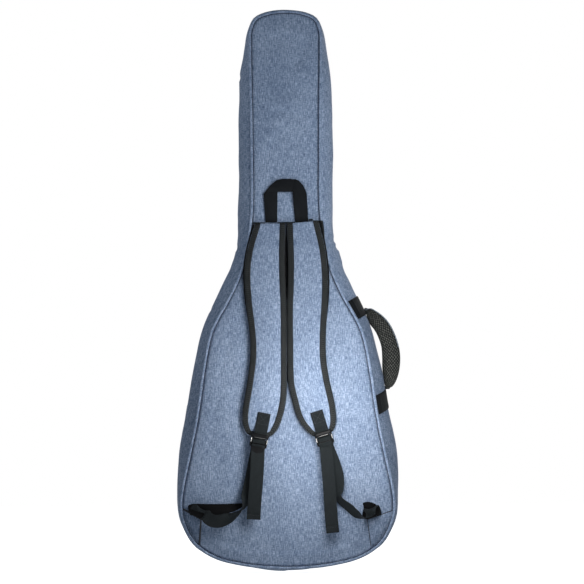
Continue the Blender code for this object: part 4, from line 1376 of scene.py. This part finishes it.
# Lower webbing, from the corner patch to behind the ladder lock: place, then the way across it
LOWER_RUNS = {
    "left": [
        ((-0.1775, -0.0662, 0.1120), (0.87, 0.00, -0.49)),
        ((-0.1762, -0.0690, 0.1225), (0.88, 0.05, -0.47)),
        ((-0.1700, -0.0775, 0.1270), (0.82, -0.12, -0.56)),
        ((-0.1610, -0.0860, 0.1165), (0.56, -0.18, -0.80)),
        ((-0.1505, -0.0875, 0.1050), (0.25, -0.12, -0.96)),
        ((-0.1370, -0.0880, 0.1015), (0.05, -0.05, -1.00)),
        ((-0.1200, -0.0870, 0.1055), (-0.10, -0.38, -0.92)),
        ((-0.1050, -0.0865, 0.1120), (-0.18, -0.75, -0.64)),
        ((-0.0905, -0.0830, 0.1235), (-0.15, -0.95, -0.25)),
        ((-0.0835, -0.0785, 0.1350), (-0.45, -0.88, 0.10)),
        ((-0.0780, -0.0755, 0.1500), (-0.97, -0.22, 0.02)),
        ((-0.0725, -0.0745, 0.1720), (-1.00, -0.02, -0.15)),
        ((-0.0665, -0.0750, 0.2000), (-0.98, 0.00, -0.20)),
        ((-0.0600, -0.0775, 0.2320), (-0.98, 0.00, -0.20)),
    ],
    "right": [
        ((0.1690, -0.0662, 0.1105), (-0.94, 0.00, -0.34)),
        ((0.1680, -0.0690, 0.1190), (-0.93, 0.05, -0.36)),
        ((0.1645, -0.0780, 0.1250), (-0.92, -0.05, -0.40)),
        ((0.1590, -0.0850, 0.1210), (-0.84, -0.25, -0.48)),
        ((0.1545, -0.0875, 0.1120), (-0.62, -0.62, -0.48)),
        ((0.1480, -0.0885, 0.1065), (-0.05, -0.99, 0.10)),
        ((0.1345, -0.0885, 0.1130), (0.28, -0.80, 0.53)),
        ((0.1190, -0.0865, 0.1265), (0.36, -0.76, 0.54)),
        ((0.1040, -0.0835, 0.1380), (0.32, -0.84, 0.44)),
        ((0.0985, -0.0805, 0.1460), (0.45, -0.85, 0.25)),
        ((0.0965, -0.0785, 0.1570), (0.85, -0.50, 0.10)),
        ((0.0970, -0.0775, 0.1730), (1.00, -0.05, 0.05)),
        ((0.0955, -0.0770, 0.1920), (1.00, 0.00, 0.15)),
        ((0.0885, -0.0765, 0.2150), (0.97, 0.00, 0.24)),
        ((0.0800, -0.0775, 0.2370), (0.96, 0.00, 0.28)),
    ],
}


# The outline of a near-black webbing ply of painted shade by the lower webbing's sewn end: on the
# left it stands for the shadow above the webbing, on the right for the shaded inside of its fold
LOWER_SHADOW_PLIES = {
    "left": [
        (-0.1930, 0.1320), (-0.1845, 0.1355), (-0.1640, 0.1352), (-0.1429, 0.1345),
        (-0.1215, 0.1348), (-0.1025, 0.1352), (-0.0875, 0.1360), (-0.0845, 0.1300),
        (-0.1015, 0.1210), (-0.1212, 0.1150), (-0.1429, 0.1120), (-0.1640, 0.1100),
        (-0.1695, 0.1058), (-0.1921, 0.1180),
    ],
    "right": [
        (0.1471, 0.1268), (0.1449, 0.1345), (0.1495, 0.1372), (0.1568, 0.1376), (0.1635, 0.1362),
        (0.1699, 0.1333), (0.1755, 0.1275), (0.1786, 0.1214), (0.1775, 0.1133), (0.1656, 0.1083),
        (0.1537, 0.1034), (0.1465, 0.1050), (0.1440, 0.1120),
    ],
}


def lower_shadow_ply(side):
    """A near-black ply of painted shade by the folded end, flat on the panel on the left, proud on
    the right.
    """
    proud = 0.0010 if side == "left" else 0.0100
    outline = LOWER_SHADOW_PLIES[side]
    centre_x = sum(x for x, _ in outline) / len(outline)
    centre_z = sum(z for _, z in outline) / len(outline)

    def lift(x, z):
        away = math.hypot((x - centre_x) / 0.030, (z - centre_z) / 0.026)
        return BACK_Y - 0.0024 - proud * bell(away)

    shape = Shape()
    shape.prism(corners_of(outline, 0.0020), lift, WEBBING_THICKNESS, 0.4)
    # Painted shade: a dark ply where the panel and the fold lie in shadow
    finish_piece(shape, f"lower_shadow_ply_{side}", PAINTED_SHADE_WEB, "tub")


def lower_webbing(side):
    """The webbing from the corner patch up to the lock and round its lower bar."""
    place = lock_frame(side)
    across = place.to_3x3() @ Vector((1, 0, 0))
    points = [Vector(p) for p, _ in LOWER_RUNS[side]]
    ways = [Vector(w).normalized() for _, w in LOWER_RUNS[side]]
    if ways[-1].dot(across) < 0:
        across = -across
    lead = [(WEB_LAYER, -0.0130)] + arc(0.0004, WEB_LAYER, 180, 0) + [(-WEB_LAYER, -0.0055)]
    lead_points = [place @ Vector((0, y, up)) for y, up in lead]
    path = smooth_line(points + lead_points[:1], 8)
    spread = smooth_line(ways + [across], 8)
    path += smooth_line(lead_points, 2)[1:]
    spread += [across] * (len(path) - len(spread))
    widths = []
    for i, way in enumerate(spread):
        along = heading(path, i)
        widths.append((way - along * way.dot(along)).normalized() * WEBBING)
    shape = Shape()
    strip(shape, path, widths)
    piece = shape.make(f"lower_web_{side}", WEB, "dark_webbing")
    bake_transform(piece)
    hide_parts(f"lower_webbing_{side}")


def tail(side):
    """The loose end that hangs from the lock, hemmed and stitched at its foot."""
    place = lock_frame(side)
    top = place @ Vector((0, -WEB_LAYER - 0.0003, -0.0090))
    foot = Vector((TAIL_ENDS[side][0], top.y - 0.0010, TAIL_ENDS[side][1]))
    middle = top.lerp(foot, 0.45) + Vector((0.0006, -0.0016, 0))
    low = top.lerp(foot, 0.80) + Vector((-0.0004, 0.0004, 0))
    path = smooth_line([top, middle, low, foot], 10)
    broad = WEBBING * (1.06 if side == "left" else 1.0)
    widths = []
    for i in range(len(path)):
        along = heading(path, i)
        turn = Vector((1, 0.06 * math.sin(i * 0.22), 0))
        widths.append((turn - along * turn.dot(along)).normalized() * broad)
    shape = Shape()
    strip(shape, path, widths)
    hem = [p + Vector((0, -WEBBING_THICKNESS * 0.95, 0)) for p in path[-5:]]
    strip(shape, hem, [w * 0.99 for w in widths[-5:]])
    finish_piece(shape, f"tail_web_{side}", WEB, f"tail_{side}", [f"tail_{side}"])
    way = widths[-4].normalized()
    seat = hem[1] + Vector((0, -WEBBING_THICKNESS / 2, 0))
    line = [seat + way * (WEBBING * 0.44 * share) for share in spread_out(-1.0, 1.0, 10)]
    shape = Shape()
    stitches(shape, line, [OUTWARD] * len(line), pitch=0.0028, length=0.0021)
    finish_piece(shape, f"tail_stitches_{side}", DARK_THREAD, f"tail_{side}")


# ---------------------------------------------------------------- top seam and hang loop

def top_seam():
    """The straps are sewn into one cross seam; narrow tape covers it between the loop's legs."""
    shape = Shape()
    for ends in ((-0.0640, -0.0406), (-0.0171, 0.0171), (0.0431, 0.0520)):
        path = []
        for x in spread_out(*ends, 12):
            bend = 0.0006 * math.sin(x * 40)
            stand = 0.0026 - 0.0008 * smooth_step(x / 0.004)
            path.append(Vector((x, BACK_Y - stand, 0.6784 + bend + tape_rise(x))))
        strip(shape, path, [Vector((0, 0.0006, 0.0028))] * len(path), thickness=0.0012)
    finish_piece(shape, "top_seam_tape", WEB, "tub", ["top_seam_webbing"])


def corners_of(points, radius=0.0012, steps=3):
    """An outline with rounded corners and extra points along its sides."""
    points = [Vector(p) for p in points]
    line = []
    for i, point in enumerate(points):
        before, after = points[i - 1], points[(i + 1) % len(points)]
        first = point + (before - point).normalized() * radius
        way = (after - point).normalized()
        second = point + way * radius
        for share in spread_out(0.0, 1.0, steps):
            line.append(first.lerp(point, share).lerp(point.lerp(second, share), share))
        reach = (after - point).length - 2 * radius
        parts = max(1, int(reach / 0.006))
        line += [second + way * reach * k / parts for k in range(1, parts)]
    return line


# The hang loop's leg, bar and other leg, flat on the panel: outline, lift, turn of the weave
LOOP_PARTS = [
    ([(-0.0402, LOOP_FOOT), (-0.0175, LOOP_FOOT), (-0.0164, HANG_HEIGHT), (-0.0164, 0.7560),
      (-0.0190, 0.7588), (-0.0438, 0.7345)], 0.0, 0.0),
    ([(-0.0438, 0.7340), (-0.0385, 0.7382), (-0.0164, HANG_HEIGHT), (0.0160, HANG_HEIGHT + 0.0003),
      (0.0172, 0.7625), (0.0090, 0.7633), (-0.0080, 0.7633), (-0.0180, 0.7610),
      (-0.0300, 0.7515)], 0.0011, math.pi / 2),
    ([(0.0175, LOOP_FOOT), (0.0427, LOOP_FOOT), (0.0416, 0.7100), (0.0400, 0.7324),
      (0.0375, 0.7420), (0.0325, 0.7515), (0.0245, 0.7600), (0.0172, 0.7630), (0.0160, 0.7590),
      (0.0128, HANG_HEIGHT), (0.0140, 0.7150)], 0.0020, 0.03),
]


def hang_loop():
    """Webbing folded over at two mitred corners: a leg, the bar over it, and the other leg."""
    shape = Shape()
    for outline, lift, turn in LOOP_PARTS:
        def level(x, z, lift=lift):
            swell = (lift + 0.0012) * smooth_step((z - 0.70) / 0.03)
            return BACK_Y - GAP - swell + ripple((x, z, 0), 0.02, 6.0) * 0.0003

        shape.prism(corners_of(outline), level, 0.0012, turn)
    finish_piece(shape, "hang_loop_web", BLACK_WEB, "hang_loop", ["hang_loop"])


# ---------------------------------------------------------------- side handle

def handle_anchors():
    """Wide webbing sewn from the back seam over the gusset, where the handle is fixed."""
    for name, (low, high) in ANCHORS.items():
        shift, slant = ANCHOR_SLANT[name]
        ridge_height = 0.0016 if name == "upper" else 0.0016 * 0.3
        rows = []
        for share in spread_out(0.0, 1.0, 14):
            height = low + shift + (high - low) * share
            depth = station_at(height).depth
            start = -1 + 2 * 0.0030 / depth
            soft = 0.0006 * (1 - smooth_step(min(share, 1 - share) / 0.05))
            outer, inner = [], []
            for i, v in enumerate(spread_out(start, ANCHOR_REACH_V, 24)):
                ridge = ridge_height * bell(((v - start) * depth / 2 - 0.010) / 0.0022)
                place = station_at(height + slant * i / 24)
                outer.append(skin_point(place, v, -0.0024 - ridge + soft))
            for i, v in enumerate(spread_out(ANCHOR_REACH_V, start, 8)):
                inner.append(skin_point(station_at(height + slant * (8 - i) / 8), v, 0.0004))
            rows.append(outer + inner)
        ringed_piece(rows, f"handle_anchor_web_{name}", BLACK_WEB, "tub",
                     [f"handle_anchor_{name}"])


def side_handle():
    """The mesh grip, a pale cord along its upper outer edge that is a painted highlight, and the
    webbing that comes out of both ends.
    """
    inner_line, outer_line = (resampled(plane_line(line, 14), 71)
                              for line in (GRIP_INNER, GRIP_OUTER))
    rows, seam, highlight_normals = [], [], []
    last = len(inner_line) - 1
    for i, (inner, outer) in enumerate(zip(inner_line, outer_line)):
        place, half = inner.lerp(outer, 0.5), (outer - inner) / 2
        share = min(i, last - i) / last
        closing = math.sqrt(min(1.0, (share + 0.004) / 0.060))
        deep_half = GRIP_DEPTH * (0.55 + 0.45 * smooth_step(share / 0.22)) * (0.5 + 0.5 * closing)
        ring = []
        for k in range(32):
            angle = 2 * math.pi * k / 32
            spot = place + half * closing * soft_power(math.cos(angle), 0.9)
            deep = deep_half * soft_power(math.sin(angle), 0.85)
            ring.append(Vector((spot.x, HANDLE_Y + deep, spot.y)))
        rows.append(ring)
        # Painted highlight: a pale cord only along the grip's upper outer edge
        if i < last * 0.55:
            spot = place + half * closing * 0.90
            seam.append(Vector((spot.x, HANDLE_Y - deep_half * 0.44, spot.y)))
            highlight_normals.append(Vector((half.x, 0, half.y)).normalized())
    ringed_piece(rows, "handle_grip_mesh", MESH, "side_handle", ["handle_grip"])
    shape = Shape()
    cord_tube(shape, seam, highlight_normals, 0.0012, sides=8)
    finish_piece(shape, "handle_grip_highlight", PAINTED_HIGHLIGHT_CORD, "side_handle")
    line = [a.lerp(b, 0.5) for a, b in zip(inner_line, outer_line)]
    shape = Shape()
    for foot, start, step in ((HANDLE_FEET[0], 0, 1), (HANDLE_FEET[1], last, -1)):
        points = [Vector(foot), line[start + step * 2], line[start + step * 6]]
        path = [Vector((p.x, HANDLE_Y, p.y)) for p in plane_line(points, 4)]
        widths = [heading(path, i).cross(-OUTWARD) * 0.0110 for i in range(len(path))]
        strip(shape, path, widths, thickness=0.0030)
    finish_piece(shape, "handle_core_web", WEB, "side_handle", ["handle_webbing"])


# ---------------------------------------------------------------- pocket and inside

POCKET_FRONT = BACK_Y + BODY_DEPTH + POCKET_DEPTH
POCKET_BACK = BACK_Y + BODY_DEPTH


def pocket_line(inset):
    """The pocket's outline, (x, z), from its top left corner round the bottom to its top right."""
    low = [s for s in RING if s.x < 0 and s.z < POCKET_TOP]
    low += [s for s in RING if s.x >= 0 and s.z < POCKET_TOP]
    points = [inset_point(s, inset) for s in low]
    corner = inset_point(station_at(POCKET_TOP), inset).x
    kept = [p for p in points if p.y < POCKET_TOP - 0.003]
    return [Vector((-corner, POCKET_TOP)), *kept, Vector((corner, POCKET_TOP))]


def pocket_plan(low, high, count):
    """Rows of (x, z) across the pocket between two heights."""
    line = [p for p in pocket_line(POCKET_INSET + 0.0012) if p.x >= 0]
    low = max(low, min(p.y for p in line))
    rows = []
    for share in spread_out(0.0, 1.0, count - 1):
        z = low + (high - low) * (share * share * 0.45 + share * 0.55)
        reach = 0.004
        for a, b in zip(line, line[1:]):
            if min(a.y, b.y) <= z <= max(a.y, b.y) and a.y != b.y:
                reach = max(reach, a.x + (b.x - a.x) * (z - a.y) / (b.y - a.y))
        rows.append([(reach * part, z) for part in PANEL_COLUMNS])
    return rows


def pocket_faces(low, high, count, puff):
    """The rows of the pocket's two faces, and how firmly its outer face is held."""
    face, back, held = [], [], []
    for row in pocket_plan(low, high, count):
        face_row, back_row = [], []
        for x, z in row:
            edge = min(row[-1][0] - abs(x), z - 0.030 if z > 0.03 else 0.0, abs(high - z) + 0.004)
            edge = max(0.0, edge)
            rise = puff * smooth_step(edge / 0.05) - 0.0014 * (1 - smooth_step(edge / 0.004))
            rise += ripple((x, z, 1.0), 0.06, 8.0) * 0.0009 * smooth_step(edge / 0.03)
            face_row.append(Vector((x, POCKET_FRONT + rise, z)))
            back_row.append(Vector((x, POCKET_FRONT - 0.0024, z)))
            held.append(max(0.0, 1.0 - edge / 0.02))
        face.append(face_row)
        back.append(back_row)
    return face, back, held


def pocket_panels():
    """The pocket's front below the zip, blown out a little, and the flap above it."""
    face, back, held = pocket_faces(0.0, POCKET_ZIP_HEIGHT - 0.0085, 60, 0.0040)
    face = simulated(face, held, 2.0, 0.0050, shrink=-0.02)
    ringed_piece(paired(face, back), "pocket_front", FABRIC, "lid", ["pocket_panel"])
    face, back, _ = pocket_faces(POCKET_ZIP_HEIGHT + 0.0085, POCKET_TOP - 0.0015, 8, 0.0010)
    ringed_piece(paired(face, back), "pocket_top_flap", FABRIC, "lid", ["pocket_header"])


# Sections of the pocket's side wall (distance in, y) and of its top wall (y, distance up)
WALL_SECTION = [(0, 0.0), (-0.0006, 0.004), (-0.0010, 0.009), (-0.0006, 0.014), (0.0004, 0.0176),
                (0.0024, 0.0186), (0.0030, 0.0168), (0.0014, 0.0160), (0.0010, 0.009),
                (0.0012, 0.0)]
TOP_SECTION = [(0.0, 0.0), (0.009, 0.0010), (0.0168, 0.0006), (0.0186, -0.0016),
               (0.0168, -0.0030), (0.009, -0.0012), (0.0, -0.0012)]


def pocket_walls():
    """The cloth wall that lets the pocket stand off the lid."""
    line = resampled(pocket_line(POCKET_INSET), 160)
    rows = []
    for i, p in enumerate(line):
        along = heading(line, i)
        way = Vector((-along.y, along.x))
        if way.dot(Vector((0, 0.22)) - p) < 0:
            way.negate()
        row = []
        for d, y in WALL_SECTION:
            wave = ripple((p.x, p.y, y * 6), 0.035, 4.0) * 0.0006
            spot = p + way * (d + wave)
            row.append(Vector((spot.x, POCKET_BACK + y, spot.y)))
        rows.append(row)
    top = [line[0].lerp(line[-1], k / 40) for k in range(41)]
    shape = Shape()
    shape.grid(rows, ring=True, capped=True)
    shape.grid([[Vector((p.x, POCKET_BACK + y, p.y + z)) for y, z in TOP_SECTION] for p in top],
               ring=True, capped=True)
    finish_piece(shape, "pocket_side_cloth", FABRIC, "lid", ["pocket_gusset"])


def pocket_zip():
    reach = station_at(POCKET_ZIP_HEIGHT).x - POCKET_INSET - 0.004
    shape = Shape()
    for side in (-1, 1):
        path = [Vector((x, POCKET_FRONT - 0.0012, POCKET_ZIP_HEIGHT + side * 0.0052))
                for x in np.linspace(-reach, reach, 60)]
        strip(shape, path, [Vector((0, 0, 0.0092))] * len(path), thickness=0.0008)
    finish_piece(shape, "pocket_zip_cloth", TAPE, "lid", ["pocket_zip_tape"])
    shape = Shape()
    level = POCKET_FRONT - 0.0004
    for side in (-1, 1):
        for k in range(int(2 * (reach - 0.004) / TOOTH_PITCH)):
            x = -reach + 0.004 + tooth_start(side, k)
            root = Vector((x, level, POCKET_ZIP_HEIGHT + side * TEETH_WIDTH))
            tip = Vector((x, level, POCKET_ZIP_HEIGHT - side * 0.0004))
            tooth(shape, root, tip, -OUTWARD)
    finish_piece(shape, "pocket_coil", TEETH, "lid", ["pocket_zip_chain"])


INSIDE_FLOOR = BACK_Y + PANEL_STACK + LINING + GAP
PAD_HALF = 0.055
CRADLE_RADIUS = 0.036


def neck_cradle():
    """The padded block under the guitar's neck, hollowed for it."""
    rows = []
    for share in spread_out(0.0, 1.0, 14):
        z = 0.668 + 0.067 * share
        pinch = 0.0030 * (1 - smooth_step(min(share, 1 - share) / 0.16))
        row = []
        for x in spread_out(-PAD_HALF, PAD_HALF, 40):
            hollow = math.sqrt(max(0.0, CRADLE_RADIUS ** 2 - x * x))
            top = min(0.028, 0.046 - hollow)
            corner = 0.0030 * (1 - smooth_step((PAD_HALF - abs(x)) / 0.006))
            row.append(Vector((x * (1 - pinch * 8), INSIDE_FLOOR + top - corner - pinch, z)))
        base = [Vector((x, INSIDE_FLOOR, z)) for x in (0.0545, 0.03, 0.0, -0.03, -0.0545)]
        rows.append(row + base)
    ringed_piece(rows, "neck_cradle_pad", LINED, "tub", ["neck_cradle"])


def bottom_bumper():
    """The rounded pad that the guitar stands on."""
    middle, half = (INSIDE_FLOOR + 0.018) / 2, (0.018 - INSIDE_FLOOR) / 2
    rows = []
    for share in spread_out(-1.0, 1.0, 40):
        end = 0.55 + 0.45 * math.sin(math.acos(min(1.0, abs(share)))) ** 0.4
        ring = []
        for i in range(20):
            angle = 2 * math.pi * i / 20
            y = middle + soft_power(math.cos(angle), 0.5) * half * end
            z = 0.0355 + soft_power(math.sin(angle), 0.6) * 0.0105 * end
            ring.append(Vector((PAD_HALF * share, y, z)))
        rows.append(ring)
    ringed_piece(rows, "bottom_bumper_pad", LINED, "tub", ["bottom_bumper"])


def metal_parts():
    for name in ("main_slider", "main_pull", "pocket_slider", "pocket_pull"):
        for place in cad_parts[name].material_slots:
            place.material = SLIDER


# ---------------------------------------------------------------- stage

COOL = (0.96, 0.98, 1.0)
# Lights: name, place, target, size, power, colour, spread in degrees
LIGHTS = [
    ("key", (0.088, -0.225, -0.425), (0.066, 0.0, -0.425), (0.14, 0.26), 0.88,
     (1.0, 0.985, 0.965), 180.0),
    ("upper", (0.26, -0.42, 0.03), (0.12, 0.0, 0.03), (0.30, 0.30), 1.20, COOL, 180.0),
    ("side", (-0.70, -0.40, 0.30), (-0.08, 0.03, 0.12), (0.30, 0.30), 1.0, COOL, 180.0),
    ("low", (0.04, -0.42, -1.05), (-0.06, 0.0, -0.62), (0.16, 0.16), 0.08, (0.94, 0.97, 1.0),
     90.0),
    ("right", (0.85, -0.04, -0.22), (0.16, 0.04, -0.22), (0.20, 0.50), 0.38, (1.0, 1.0, 1.0),
     180.0),
    ("behind", (0.8, 2.4, 0.8), (0.0, 0.0, -0.2), (1.8, 1.8), 26.0, (1.0, 1.0, 1.0), 180.0),
]
CAMERA_PLACE = (0.0105, -14.0, -0.1938)
CAMERA_LENS = 445.8
SENSOR_WIDTH = 36.0


def area_light(name, place, target, size, power, colour, spread):
    data = bpy.data.lights.new(name, "AREA")
    data.shape = "RECTANGLE"
    data.size, data.size_y = size
    data.energy = power
    data.color = colour
    data.spread = math.radians(spread)
    light = bpy.data.objects.new(name, data)
    bpy.context.scene.collection.objects.link(light)
    light.location = place
    light.visible_camera = False
    way = Vector(target) - light.location
    light.rotation_euler = way.to_track_quat("-Z", "Y").to_euler()


def add_floor():
    """A white floor under the bag that throws no light or shadow on it."""
    bpy.ops.mesh.primitive_plane_add(size=9.0, location=(0, 0, cad_box[0].z - 0.002))
    floor = bpy.context.object
    floor.name = "floor"
    material, _, shader = new_material("floor", roughness=0.9, specular=0.0)
    shader.inputs["Base Color"].default_value = (0.92, 0.92, 0.92, 1.0)
    shader.inputs["Emission Color"].default_value = (1.0, 1.0, 1.0, 1.0)
    shader.inputs["Emission Strength"].default_value = 0.92
    floor.data.materials.append(material)
    floor.visible_diffuse = False
    floor.visible_shadow = False


def add_world():
    """A dim blue-white sky to light the bag, which the camera sees as plain white."""
    world = bpy.data.worlds.new("studio")
    bpy.context.scene.world = world
    world.use_nodes = True
    tree = world.node_tree
    sky = tree.nodes["Background"]
    sky.inputs["Color"].default_value = (0.78, 0.88, 1.0, 1.0)
    sky.inputs["Strength"].default_value = 0.185
    path = node(tree, "ShaderNodeLightPath")
    seen = node(tree, "ShaderNodeBackground", {"Color": (1, 1, 1, 1), "Strength": 1.0})
    mix = node(tree, "ShaderNodeMixShader", {0: path.outputs["Is Camera Ray"],
                                             1: sky.outputs[0], 2: seen.outputs[0]})
    tree.links.new(mix.outputs[0], tree.nodes["World Output"].inputs["Surface"])


def add_camera():
    data = bpy.data.cameras.new("camera")
    data.lens = CAMERA_LENS
    data.sensor_width = SENSOR_WIDTH
    camera = bpy.data.objects.new("camera", data)
    bpy.context.scene.collection.objects.link(camera)
    camera.location = CAMERA_PLACE
    camera.rotation_euler = (math.radians(90), 0, 0)
    camera.rotation_euler.rotate_axis("Z", math.radians(CAMERA_ROLL))
    bpy.context.scene.camera = camera
    bpy.context.scene.view_settings.view_transform = "Standard"


back_panel()
front_panel()
panel_linings()
gussets()
piping()
zipper()
hinge_gusset()
corner_patches()
for strap_side in ("left", "right"):
    strap_pad(strap_side)
    strap_binding(strap_side)
    ladder_lock(strap_side)
    strap_tab(strap_side)
    lower_webbing(strap_side)
    lower_shadow_ply(strap_side)
    tail(strap_side)
top_seam()
hang_loop()
handle_anchors()
side_handle()
pocket_panels()
pocket_walls()
pocket_zip()
neck_cradle()
bottom_bumper()
metal_parts()
add_floor()
add_world()
for light in LIGHTS:
    area_light(*light)
add_camera()
